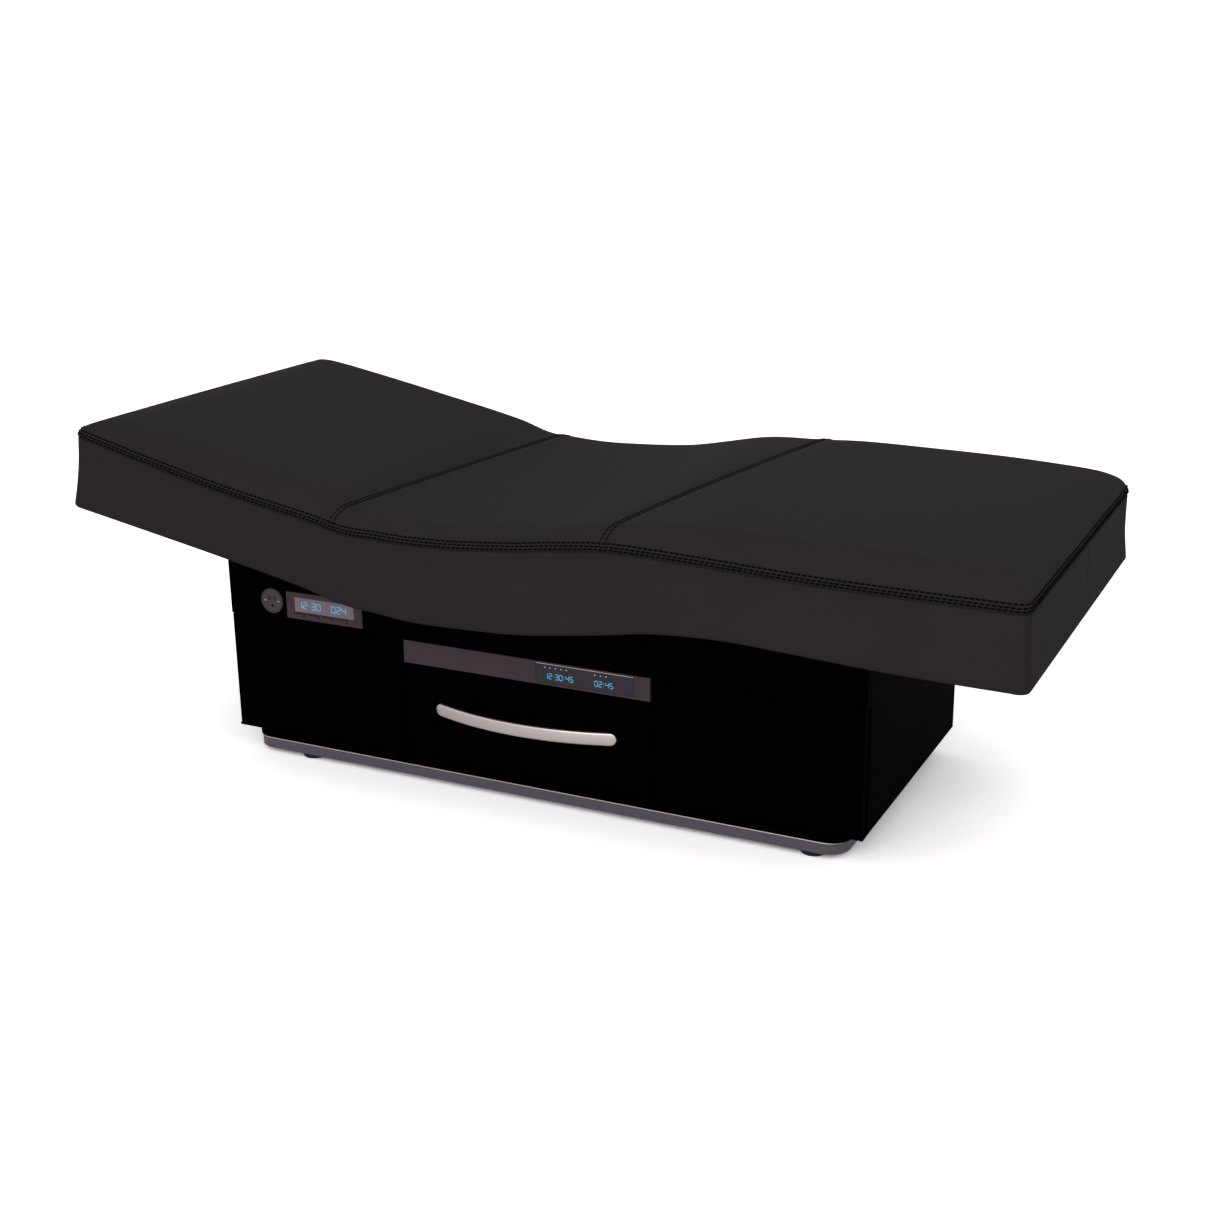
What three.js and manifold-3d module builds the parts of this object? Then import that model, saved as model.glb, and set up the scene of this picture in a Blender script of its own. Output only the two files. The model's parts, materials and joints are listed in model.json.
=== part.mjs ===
// A spa treatment table: a padded top in three sections over a cabinet with two doors and a drawer.
// The cabinet and top rise together on two telescoping columns that stand on a low plinth.
// The back and leg sections tilt on round hinge tubes, each pushed by a rod of one dual drive.
// Millimetres, +Z up. X runs from the head end to the foot end, and the drawer faces -Y.
// The origin lies on the floor, in the middle of the table's outline.

import * as THREE from 'three';
import { mergeVertices } from 'three/addons/utils/BufferGeometryUtils.js';
import Module from 'manifold-3d';

// Clearances
const seatGap = 0.3;
const slideGap = 1;
const cutOverrun = 5;

// Padded top, in the flat state: lengths run along the deck
const backLength = 613;
const seatLength = 560;
const legLength = 685.5;
const topWidth = 813;
const topCornerRadius = 20;
const bandHeight = 150;
const skirtWall = 25;
const shoulderWidth = 60;
const bandDrawIn = 5;
const crownArch = 4;
const seamDepth = 2.5;
const seamHalfWidth = 3;
const crossSeamDepth = 5;
const crossSeamHalfWidth = 8;
const bendReach = 75;
const backRestAngle = THREE.MathUtils.degToRad(11);

// Cabinet
const cabinetLength = 1300;
const cabinetDepth = 571;
const cabinetHeight = 355;
const backHingeFromHeadPanel = 345;
const boardThickness = 18;
const topBoardThickness = 17.7;
const thinBoardThickness = 12;
const doorThickness = 18;
const doorBackGap = 5;
const doorGap = 4;
const doorEdgeReveal = 2;
const doorWidth = 390;
const doorTopZ = 235.2;
const sillThickness = 4;
const sillGap = 1.5;
const fasciaBottomZ = 236;
const bayWallThickness = 16;
const bayDepth = 460;
const compartmentDepth = 208;

// Plinth and levelling feet
const footHeight = 10;
const footRadius = 24;
const footChamfer = 2.5;
const footStemRadius = 5;
const footHeadInset = 127;
const footFootInset = 62;
const footSideInset = 26;
const trayHeight = 21;
const trayWall = 4;
const trayEndInset = 33;
const trayCornerRadius = 40;
const nutBossRadius = 12;
const nutBossHeight = 14;
const deckBoardThickness = 9.7;
const deckBoardProud = 3;
const runningGap = 7;

// Lifting columns
const columnInset = 200;
const columnSize = 80;
const columnStep = 10;
const columnWall = 3;
const columnPlateThickness = 6;
const columnPlateMargin = 30;
const columnTopSetback = 8;
const columnHoleGap = 3;

// Lift frame under the cabinet's top board
const liftRailSize = 30;
const liftRailWall = 3;
const liftRailEndInset = 30;
const liftRailReach = 150;
const liftPlateThickness = 12;
const liftPlateLength = 120;

// Frames and decks of the top
const tubeSize = 25;
const tubeLift = 3;
const hingeSides = 24;
const hingeBoreGap = 0.5;
const sectionFrameReach = 250;
const seatFrameReach = 210;
const lugThickness = 8;
const lugInset = 14;
const lugWall = 6;
const lugRoot = 5;
const seatRailSetback = 40;
const frameEndInset = 85;
const deckThickness = 12;
const deckFit = 2;
const deckSetback = 30;

// Dual drive, its push rods and the levers on the hinge tubes
const leverLength = 90;
const leverWidth = 30;
const leverThickness = 8;
const leverPinRadius = 6;
const backLeverRestAngle = THREE.MathUtils.degToRad(20);
const legLeverRestAngle = THREE.MathUtils.degToRad(-12.5);
const rodSize = 18;
const rodGap = 0.4;
const rodLength = 150;
const yokeWidth = 32;
const yokeHeight = 52;
const yokeSlotHeight = 32;
const yokeSlotGap = 1.5;
const driveWidth = 90;
const driveBottomWall = 12;
const driveFromBackHinge = 85;
const driveFromLegHinge = 85;
const leverSlotHalfLength = 45;
const leverSlotHalfWidth = 25;

// Drawer
const drawerTopZ = 188;
const drawerWall = 12;
const drawerFloor = 10;
const drawerSideGap = 13;
const drawerTrayBottomZ = 22;
const drawerTrayHeight = 143;
const drawerTrayDepth = 440;
const railHeight = 46;
const railWall = 2.5;
const railBottomZ = 62;
const handleLength = 375;
const handleBow = 33;
const handleThickness = 9;
const handleHeight = 25;
const handleBottomZ = 94.5;
const handleFoot = 26;
const handleSteps = 24;

// Door pivots
const pivotRadius = 3;
const pivotBoreGap = 0.5;
const pivotInset = 9;
const pivotSocketDepth = 10;
const pivotSides = 16;

// Control strip over the drawer
const stripBottomZ = 191;
const stripTopZ = 235;
const stripDisplayWidth = 195;
const stripDisplayHeight = 36;
const stripDisplayMargin = 4;
const stripDisplayFromEnd = 32;
const displayRecess = 3;
const displayFit = 0.5;

// Control panel, its window and buttons, and the socket beside it
const panelWidth = 172;
const panelHeight = 53;
const panelThickness = 3;
const panelFromHeadPanel = 136;
const panelBottomZ = 245;
const panelRim = 4;
const windowWidth = 136;
const windowHeight = 30;
const windowTopMargin = 9;
const windowGlassDepth = 10;
const buttonWidth = 24;
const buttonHeight = 6;
const buttonDepth = 14;
const buttonProud = 2.5;
const buttonFit = 0.4;
const buttonBottomMargin = 5.5;
const buttonPitch = 32.7;
const firstButtonInset = 28;
const outletRadius = 25;
const outletBodyRadius = 20;
const outletFlange = 2.5;
const outletDepth = 15;
const outletInset = 101.5;
const outletZ = 274;
const outletSlotWidth = 2.5;
const outletSlotHeight = 9;
const outletSlotSpacing = 13;
const outletSlotDepth = 9;
const outletPinRadius = 3;
const outletPinDrop = 10;

// Mains inlet and control box on the back board
const inletWidth = 48;
const inletHeight = 34;
const inletFlange = 2.5;
const inletBodyWidth = 30;
const inletBodyHeight = 24;
const inletDepth = 32;
const inletWall = 3;
const inletSocketDepth = 17;
const inletPinLength = 8;
const inletPinSize = 2;
const inletPinSpacing = 7;
const inletFromHeadPanel = 1000;
const inletZ = 75;
const boxLength = 200;
const boxHeight = 85;
const boxDepth = 82;
const boxFromHeadPanel = 640;

// Course of the top's lines from head to foot, each row:
// share of the length, then the skirt's edge, the seam and the crown's rise as shares of the band
const topLineShares = [
  [0, -0.247, 0.71, 0.17],
  [0.098, -0.227, 0.655, 0.25],
  [0.2, -0.213, 0.625, 0.275],
  [0.297, -0.22, 0.645, 0.23],
  [0.362, -0.29, 0.625, 0.185],
  [0.41, -0.35, 0.605, 0.17],
  [0.464, -0.347, 0.625, 0.17],
  [0.523, -0.317, 0.69, 0.16],
  [0.569, -0.25, 0.76, 0.18],
  [0.619, -0.157, 0.82, 0.235],
  [0.667, -0.063, 0.815, 0.28],
  [0.733, -0.025, 0.785, 0.325],
  [0.803, -0.063, 0.745, 0.355],
  [0.89, -0.117, 0.725, 0.35],
  [1, -0.143, 0.715, 0.28],
];
// Places across the half width where the top's surface is drawn, centre to edge
const acrossShares = [0.3, 0.6, 0.8, 0.9, 0.95, 0.98];
// Places down the band between the seam and the skirt's edge
const bandShares = [0.25, 0.55, 0.85];
// Steps round a plan corner, as shares of its radius
const cornerShares = [0.08, 0.3, 0.6];
const stationSpacing = 62;

// Places worked out from the sizes
const topLength = backLength + seatLength + legLength;
const headSkirtDrop = -topLineShares[0][1] * bandHeight;
const headReach = backLength * Math.cos(backRestAngle) + headSkirtDrop * Math.sin(backRestAngle);
const overallLength = headReach + seatLength + legLength;
const backHingeX = headReach - overallLength / 2;
const legHingeX = backHingeX + seatLength;
const cabinetBottomZ = footHeight + trayHeight + seatGap + deckBoardThickness + runningGap;
const cabinetX = backHingeX - backHingeFromHeadPanel;
const cabinetY = -cabinetDepth / 2;
const cabinetMidY = cabinetDepth / 2;
const legHingeFromHeadPanel = backHingeFromHeadPanel + seatLength;
const tubeRadius = tubeSize / 2;
const hingeRise = tubeLift + tubeRadius;
const hingeZ = cabinetBottomZ + cabinetHeight + hingeRise;
const deckBottomRise = tubeRadius + seatGap;
const deckTopRise = deckBottomRise + deckThickness;
const carcassFrontY = doorThickness + doorBackGap;
const backBoardY = cabinetDepth - boardThickness;
const topBoardBottomZ = cabinetHeight - topBoardThickness;
const columnCentres = [columnInset, cabinetLength - columnInset];
const endNames = ['left', 'right'];

// Finishes
function finish(color, roughness, metalness) {
  return new THREE.MeshStandardMaterial({ color, roughness, metalness });
}
const blackVinyl = finish(0x2d292a, 0.55, 0);
const foamGrey = finish(0x4a4648, 0.9, 0);
const blackLacquer = finish(0x0a090a, 0.35, 0);
const blackBoard = finish(0x141314, 0.6, 0);
const birchPly = finish(0xb89b72, 0.7, 0);
const plinthPaint = finish(0x504b55, 0.5, 0.2);
const blackRubber = finish(0x121212, 0.9, 0);
const framePaint = finish(0x1c1c1e, 0.5, 0.4);
const columnSteel = finish(0xb4b4b6, 0.35, 0.9);
const taupePlastic = finish(0x463c41, 0.5, 0);
const displayPlastic = finish(0x736c78, 0.3, 0);
const greyPlastic = finish(0x5f5862, 0.5, 0);
const darkPlastic = finish(0x1d1d1f, 0.5, 0);
const satinNickel = finish(0xc8c0be, 0.3, 0.95);
const zincSteel = finish(0x9a9c9e, 0.4, 0.9);

const wasm = await Module();
wasm.setup();

// Solids and pieces

function asSolid(geometry) {
  const bare = geometry.index ? geometry.toNonIndexed() : geometry.clone();
  bare.deleteAttribute('normal');
  bare.deleteAttribute('uv');
  const welded = mergeVertices(bare);
  return new wasm.Manifold(new wasm.Mesh({
    numProp: 3,
    vertProperties: new Float32Array(welded.attributes.position.array),
    triVerts: new Uint32Array(welded.index.array),
  }));
}

function asGeometry(solid) {
  const mesh = solid.getMesh();
  const geometry = new THREE.BufferGeometry();
  geometry.setAttribute('position', new THREE.BufferAttribute(mesh.vertProperties, 3));
  geometry.setIndex(new THREE.BufferAttribute(mesh.triVerts, 1));
  geometry.computeVertexNormals();
  return geometry;
}

function join(first, ...others) {
  return asGeometry(others.reduce((whole, other) => whole.add(asSolid(other)), asSolid(first)));
}

function cut(base, ...tools) {
  return asGeometry(tools.reduce((rest, tool) => rest.subtract(asSolid(tool)), asSolid(base)));
}

function block([x0, x1], [y0, y1], [z0, z1]) {
  const geometry = new THREE.BoxGeometry(x1 - x0, y1 - y0, z1 - z0);
  return geometry.translate((x0 + x1) / 2, (y0 + y1) / 2, (z0 + z1) / 2);
}

// A span of the given length about a centre
const about = (centre, length) => [centre - length / 2, centre + length / 2];

// A round bar along Y
function barAlongY(radius, [y0, y1], x, z, sides) {
  const geometry = new THREE.CylinderGeometry(radius, radius, y1 - y0, sides);
  return geometry.translate(x, (y0 + y1) / 2, z);
}

// A round bar along Z
function barAlongZ(radius, [z0, z1], x, y, sides) {
  const geometry = new THREE.CylinderGeometry(radius, radius, z1 - z0, sides);
  return geometry.rotateX(Math.PI / 2).translate(x, y, (z0 + z1) / 2);
}

// A plan outline raised to a height
function slabOf(shape, [z0, z1], curveSegments) {
  const geometry = new THREE.ExtrudeGeometry(shape, { depth: z1 - z0, bevelEnabled: false, curveSegments });
  return geometry.translate(0, 0, z0);
}

function roundedPlan([x0, x1], [y0, y1], radius) {
  const quarter = Math.PI / 2;
  const shape = new THREE.Shape();
  shape.absarc(x1 - radius, y0 + radius, radius, -quarter, 0);
  shape.absarc(x1 - radius, y1 - radius, radius, 0, quarter);
  shape.absarc(x0 + radius, y1 - radius, radius, quarter, 2 * quarter);
  shape.absarc(x0 + radius, y0 + radius, radius, 2 * quarter, 3 * quarter);
  shape.closePath();
  return shape;
}

function piece(parent, name, geometry, material) {
  const mesh = new THREE.Mesh(geometry, material);
  mesh.name = name;
  parent.add(mesh);
  return mesh;
}

const table = new THREE.Group();

// Plinth: a painted steel tray with a board on it, standing on four levelling feet

function buildPlinth() {
  const spanX = [cabinetX + trayEndInset, cabinetX + cabinetLength - trayEndInset];
  const spanY = [cabinetY, cabinetY + cabinetDepth];
  const trayZ = [footHeight, footHeight + trayHeight];
  const boardZ = [trayZ[1] + seatGap, trayZ[1] + seatGap + deckBoardThickness];
  const cornerSteps = 6;
  const stemSides = 12;
  const innerRadius = trayCornerRadius - trayWall;
  const inner = roundedPlan(
    [spanX[0] + trayWall, spanX[1] - trayWall],
    [spanY[0] + trayWall, spanY[1] - trayWall],
    innerRadius,
  );
  const footPlaces = [
    ['front_left', spanX[0] + footHeadInset, spanY[0] + footSideInset],
    ['front_right', spanX[1] - footFootInset, spanY[0] + footSideInset],
    ['rear_left', spanX[0] + footHeadInset, spanY[1] - footSideInset],
    ['rear_right', spanX[1] - footFootInset, spanY[1] - footSideInset],
  ];
  const floorZ = footHeight + trayWall;
  const bosses = footPlaces.map(([, x, y]) => barAlongZ(
    nutBossRadius, [floorZ - trayWall / 2, floorZ + nutBossHeight], x, y, stemSides,
  ));
  const boreZ = [footHeight - cutOverrun, floorZ + nutBossHeight + cutOverrun];
  const stemBores = footPlaces.map(([, x, y]) => barAlongZ(
    footStemRadius + slideGap, boreZ, x, y, stemSides,
  ));
  const shell = cut(
    slabOf(roundedPlan(spanX, spanY, trayCornerRadius), trayZ, cornerSteps),
    slabOf(inner, [floorZ, trayZ[1] + cutOverrun], cornerSteps),
  );
  piece(table, 'plinth_tray', cut(join(shell, ...bosses), ...stemBores), plinthPaint);

  const boardPlan = roundedPlan(
    [spanX[0] - deckBoardProud, spanX[1] + deckBoardProud],
    spanY,
    trayCornerRadius,
  );
  piece(table, 'plinth_deck', slabOf(boardPlan, boardZ, cornerSteps), blackBoard);

  const padTop = footHeight - seatGap;
  const stemTop = floorZ + nutBossHeight - slideGap;
  const profile = [
    [0, 0], [footRadius - footChamfer, 0], [footRadius, footChamfer], [footRadius, padTop],
    [footStemRadius, padTop], [footStemRadius, stemTop], [0, stemTop],
  ].map(([r, z]) => new THREE.Vector2(r, z));
  for (const [place, x, y] of footPlaces) {
    const foot = new THREE.LatheGeometry(profile, 20).rotateX(Math.PI / 2);
    piece(table, `levelling_foot_${place}`, foot, blackRubber).position.set(x, y, 0);
  }
  return boardZ[1];
}

// Lifting columns: three square steel stages each, the outer one bolted to the plinth

function squareTube(size, wall, [z0, z1]) {
  const span = about(0, size);
  const bore = about(0, size - 2 * wall);
  return cut(block(span, span, [z0, z1]), block(bore, bore, [z0 - cutOverrun, z1 + cutOverrun]));
}

function buildColumns(plinthTopZ) {
  const liftPlateBottomZ = cabinetBottomZ + topBoardBottomZ - seatGap - liftRailSize;
  const baseZ = plinthTopZ + seatGap;
  const topZ = liftPlateBottomZ - seatGap;
  const tubeBaseZ = baseZ + columnPlateThickness;
  const middleSize = columnSize - columnStep;
  const innerSize = middleSize - columnStep;
  const outerTopZ = topZ - columnPlateThickness - 2 * columnTopSetback;
  const plateSpan = about(0, columnSize + 2 * columnPlateMargin);
  const topPlateSpan = about(0, liftPlateLength);
  const bore = about(0, columnSize - 2 * columnWall);
  columnCentres.forEach((centre, end) => {
    const column = new THREE.Group();
    column.position.set(cabinetX + centre, 0, 0);
    table.add(column);
    const basePlate = cut(
      block(plateSpan, plateSpan, [baseZ, tubeBaseZ]),
      block(bore, bore, [baseZ - cutOverrun, tubeBaseZ + cutOverrun]),
    );
    const outer = squareTube(columnSize, columnWall, [tubeBaseZ - columnWall, outerTopZ]);
    piece(column, `column_base_${endNames[end]}`, join(basePlate, outer), framePaint);
    const middleZ = [baseZ, outerTopZ + columnTopSetback];
    piece(column, `column_middle_${endNames[end]}`, squareTube(middleSize, columnWall, middleZ), columnSteel);
    const innerTube = squareTube(innerSize, columnWall, [baseZ + slideGap, topZ - columnWall]);
    const topPlate = block(topPlateSpan, topPlateSpan, [topZ - columnPlateThickness, topZ]);
    piece(column, `column_top_${endNames[end]}`, join(innerTube, topPlate), columnSteel);
  });
}

// Cabinet, in its own space: X from the head panel, Y from the door faces, Z from its underside

function buildCarcass(cabinet) {
  const fullX = [0, cabinetLength];
  const innerX = [boardThickness + seatGap, cabinetLength - boardThickness - seatGap];
  const backY = backBoardY - seatGap;
  const sideTopZ = topBoardBottomZ - seatGap;
  const fasciaBackY = doorThickness + seatGap;

  // End panels: set back behind the doors, and reaching the fascia above them
  const sideOutline = new THREE.Shape([
    new THREE.Vector2(carcassFrontY, 0),
    new THREE.Vector2(backY, 0),
    new THREE.Vector2(backY, sideTopZ),
    new THREE.Vector2(fasciaBackY, sideTopZ),
    new THREE.Vector2(fasciaBackY, fasciaBottomZ),
    new THREE.Vector2(carcassFrontY, fasciaBottomZ),
  ]);
  [0, cabinetLength - boardThickness].forEach((x, end) => {
    const panel = new THREE.ExtrudeGeometry(sideOutline, { depth: boardThickness, bevelEnabled: false });
    const upright = panel.rotateX(Math.PI / 2).rotateZ(Math.PI / 2);
    piece(cabinet, `side_panel_${endNames[end]}`, upright, blackLacquer).position.x = x;
  });

  const inletHole = block(
    about(inletFromHeadPanel, inletBodyWidth + 2 * slideGap),
    [backBoardY - cutOverrun, cabinetDepth + cutOverrun],
    about(inletZ, inletBodyHeight + 2 * slideGap),
  );
  const backBoard = block(fullX, [backBoardY, cabinetDepth], [0, sideTopZ]);
  piece(cabinet, 'back_panel', cut(backBoard, inletHole), blackLacquer);

  const columnHole = columnSize + 2 * columnHoleGap;
  const floor = join(
    block(innerX, [carcassFrontY, backY], [0, boardThickness]),
    block(fullX, [0, carcassFrontY - seatGap], [0, sillThickness]),
    block(innerX, [carcassFrontY - slideGap, carcassFrontY + cutOverrun], [0, sillThickness]),
  );
  const floorHoles = columnCentres.map((centre) => block(
    about(centre, columnHole), about(cabinetMidY, columnHole), [-cutOverrun, boardThickness + cutOverrun],
  ));
  piece(cabinet, 'floor_panel', cut(floor, ...floorHoles), blackBoard);

  const topBoard = block(fullX, [fasciaBackY, cabinetDepth], [topBoardBottomZ, cabinetHeight]);
  const leverSlots = [backHingeFromHeadPanel, legHingeFromHeadPanel].map((x) => block(
    about(x, 2 * leverSlotHalfLength),
    about(cabinetMidY, 2 * leverSlotHalfWidth),
    [topBoardBottomZ - cutOverrun, cabinetHeight + cutOverrun],
  ));
  piece(cabinet, 'top_panel', cut(topBoard, ...leverSlots), blackLacquer);

  // Fascia above the doors: holds the socket, the control panel and the doors' upper pivots
  const fascia = block(fullX, [0, doorThickness], [fasciaBottomZ, cabinetHeight]);
  const throughY = [-cutOverrun, doorThickness + cutOverrun];
  const panelX = [panelFromHeadPanel, panelFromHeadPanel + panelWidth];
  const cutouts = [
    barAlongY(outletBodyRadius + slideGap, throughY, outletInset, outletZ, 32),
    block(
      [panelX[0] + panelRim, panelX[1] - panelRim],
      throughY,
      [panelBottomZ + panelRim, panelBottomZ + panelHeight - panelRim],
    ),
    ...pivotPlaces().map((x) => barAlongZ(
      pivotRadius + pivotBoreGap, [fasciaBottomZ - cutOverrun, fasciaBottomZ + pivotSocketDepth],
      x, doorThickness / 2, pivotSides,
    )),
  ];
  piece(cabinet, 'upper_fascia', cut(fascia, ...cutouts), blackLacquer);

  // Walls of the drawer bay and the backs of the two side compartments
  const bayX = bayWallSpans();
  const bayY = [carcassFrontY, carcassFrontY + bayDepth];
  const insideZ = [boardThickness + seatGap, fasciaBottomZ - seatGap];
  bayX.forEach((span, end) => {
    piece(cabinet, `bay_wall_${endNames[end]}`, block(span, bayY, insideZ), birchPly);
  });
  const bayTopX = [bayX[0][1] + seatGap, bayX[1][0] - seatGap];
  const bayTopZ = [insideZ[1] - thinBoardThickness, insideZ[1]];
  piece(cabinet, 'bay_top', block(bayTopX, bayY, bayTopZ), birchPly);
  const compartmentX = [
    [innerX[0], bayX[0][0] - seatGap],
    [bayX[1][1] + seatGap, innerX[1]],
  ];
  const compartmentBackY = carcassFrontY + compartmentDepth;
  compartmentX.forEach((span, end) => {
    const board = block(span, [compartmentBackY, compartmentBackY + thinBoardThickness], insideZ);
    piece(cabinet, `compartment_back_${endNames[end]}`, board, birchPly);
  });
}

// The bay walls stand behind the gaps between the doors and the drawer
function bayWallSpans() {
  const gapCentre = doorEdgeReveal + doorWidth + doorGap / 2;
  return [about(gapCentre, bayWallThickness), about(cabinetLength - gapCentre, bayWallThickness)];
}

function pivotPlaces() {
  const inset = doorEdgeReveal + pivotInset;
  return [inset, cabinetLength - inset];
}

function buildDoors(cabinet) {
  const doorZ = [sillThickness + sillGap, doorTopZ];
  const spans = [
    [doorEdgeReveal, doorEdgeReveal + doorWidth],
    [cabinetLength - doorEdgeReveal - doorWidth, cabinetLength - doorEdgeReveal],
  ];
  const boreZ = [doorZ[0] - cutOverrun, doorZ[1] + cutOverrun];
  pivotPlaces().forEach((x, end) => {
    const bore = barAlongZ(pivotRadius + pivotBoreGap, boreZ, x, doorThickness / 2, pivotSides);
    const leaf = block(spans[end], [0, doorThickness], doorZ);
    piece(cabinet, `door_${endNames[end]}`, cut(leaf, bore), blackLacquer);
    const rodZ = [sillThickness + seatGap, fasciaBottomZ + pivotSocketDepth - seatGap];
    const rod = barAlongZ(pivotRadius, rodZ, x, doorThickness / 2, pivotSides);
    piece(cabinet, `door_pivot_rod_${endNames[end]}`, rod, zincSteel);
  });
}

function buildLiftFrame(cabinet) {
  const railZ = [topBoardBottomZ - seatGap - liftRailSize, topBoardBottomZ - seatGap];
  const railX = [liftRailEndInset, cabinetLength - liftRailEndInset];
  const boreX = [railX[0] - cutOverrun, railX[1] + cutOverrun];
  const boreZ = [railZ[0] + liftRailWall, railZ[1] - liftRailWall];
  const plateZ = [railZ[0], railZ[0] + liftPlateThickness];
  const sides = [-1, 1];
  const rails = sides.map((side) => block(
    railX, about(cabinetMidY + side * (liftRailReach - liftRailSize / 2), liftRailSize), railZ,
  ));
  const bores = sides.map((side) => block(
    boreX,
    about(cabinetMidY + side * (liftRailReach - liftRailSize / 2), liftRailSize - 2 * liftRailWall),
    boreZ,
  ));
  const plates = columnCentres.map((centre) => block(
    about(centre, liftPlateLength), about(cabinetMidY, 2 * liftRailReach - liftRailSize), plateZ,
  ));
  piece(cabinet, 'lift_frame', cut(join(rails[0], rails[1], ...plates), ...bores), framePaint);
}

// Control strip over the drawer, with its display set in near the right end

function buildControlStrip(cabinet) {
  const stripX = [
    doorEdgeReveal + doorWidth + doorGap,
    cabinetLength - doorEdgeReveal - doorWidth - doorGap,
  ];
  const displayX = [stripX[1] - stripDisplayFromEnd - stripDisplayWidth, stripX[1] - stripDisplayFromEnd];
  const displayBottomZ = stripBottomZ + stripDisplayMargin;
  const displayZ = [displayBottomZ, displayBottomZ + stripDisplayHeight];
  const strip = block(stripX, [0, carcassFrontY - seatGap], [stripBottomZ, stripTopZ]);
  const recess = block(displayX, [-cutOverrun, displayRecess], displayZ);
  piece(cabinet, 'control_strip', cut(strip, recess), taupePlastic);
  const display = block(
    [displayX[0] + displayFit, displayX[1] - displayFit],
    [0, displayRecess - seatGap],
    [displayZ[0] + displayFit, displayZ[1] - displayFit],
  );
  piece(cabinet, 'strip_display', display, displayPlastic);
}

// Control panel on the fascia: a plate with a display window and four push buttons under it

function buildControlPanel(cabinet) {
  const panel = new THREE.Group();
  panel.position.set(panelFromHeadPanel, 0, panelBottomZ);
  cabinet.add(panel);
  const faceY = -panelThickness - seatGap;
  const windowX = about(panelWidth / 2, windowWidth);
  const windowZ = [panelHeight - windowTopMargin - windowHeight, panelHeight - windowTopMargin];
  const throughY = [faceY - cutOverrun, cutOverrun];
  const buttonZ = [buttonBottomMargin, buttonBottomMargin + buttonHeight];
  const buttonCentres = [0, 1, 2, 3].map((place) => firstButtonInset + place * buttonPitch);
  const holes = buttonCentres.map((x) => block(
    about(x, buttonWidth + 2 * buttonFit),
    throughY,
    [buttonZ[0] - buttonFit, buttonZ[1] + buttonFit],
  ));
  const plate = block([0, panelWidth], [faceY, -seatGap], [0, panelHeight]);
  piece(panel, 'control_panel', cut(plate, block(windowX, throughY, windowZ), ...holes), taupePlastic);
  const glass = block(
    [windowX[0] + displayFit, windowX[1] - displayFit],
    [faceY + displayFit, faceY + displayFit + windowGlassDepth],
    [windowZ[0] + displayFit, windowZ[1] - displayFit],
  );
  piece(panel, 'panel_display', glass, displayPlastic);
  buttonCentres.forEach((x, place) => {
    const button = block(about(0, buttonWidth), [0, buttonDepth], buttonZ);
    piece(panel, `panel_button_${place + 1}`, button, taupePlastic).position.set(x, faceY - buttonProud, 0);
  });
}

// Power socket beside the control panel: a round face with two slots and a round hole

function buildOutlet(cabinet) {
  const sides = 32;
  const flange = barAlongY(outletRadius, [-outletFlange - seatGap, -seatGap], 0, 0, sides);
  const body = barAlongY(outletBodyRadius, [-outletFlange, outletDepth], 0, 0, sides);
  const slotY = [-outletFlange - cutOverrun, outletSlotDepth];
  const slots = [-1, 1].map((side) => block(
    about(side * outletSlotSpacing / 2, outletSlotWidth), slotY, about(outletPinDrop / 2, outletSlotHeight),
  ));
  const pinHole = barAlongY(outletPinRadius, slotY, 0, -outletPinDrop, 12);
  const outlet = cut(join(flange, body), ...slots, pinHole);
  piece(cabinet, 'power_outlet', outlet, greyPlastic).position.set(outletInset, 0, outletZ);
}

// Mains inlet in the back board and the control box inside it

function buildMains(cabinet) {
  const outside = inletFlange + seatGap;
  const flange = block(about(0, inletWidth), [seatGap, outside], about(0, inletHeight));
  const body = block(
    about(0, inletBodyWidth), [outside - inletDepth, outside - inletFlange / 2], about(0, inletBodyHeight),
  );
  const socket = block(
    about(0, inletBodyWidth - 2 * inletWall),
    [outside - inletSocketDepth, outside + cutOverrun],
    about(0, inletBodyHeight - 2 * inletWall),
  );
  const pins = [-1, 0, 1].map((place) => block(
    about(place * inletPinSpacing, inletPinSize),
    [outside - inletSocketDepth - inletPinSize, outside - inletSocketDepth + inletPinLength],
    about(0, 2 * inletPinSize),
  ));
  const inlet = join(cut(join(flange, body), socket), ...pins);
  piece(cabinet, 'mains_inlet', inlet, darkPlastic).position.set(inletFromHeadPanel, cabinetDepth, inletZ);

  const boxY = [backBoardY - seatGap - boxDepth, backBoardY - seatGap];
  const boxZ = [topBoardBottomZ - seatGap - boxHeight, topBoardBottomZ - seatGap];
  const boxX = [boxFromHeadPanel, boxFromHeadPanel + boxLength];
  piece(cabinet, 'control_box', block(boxX, boxY, boxZ), darkPlastic);
}

// Drawer: a lacquered front with a bow handle, a ply tray and a steel slide on each side

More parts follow.
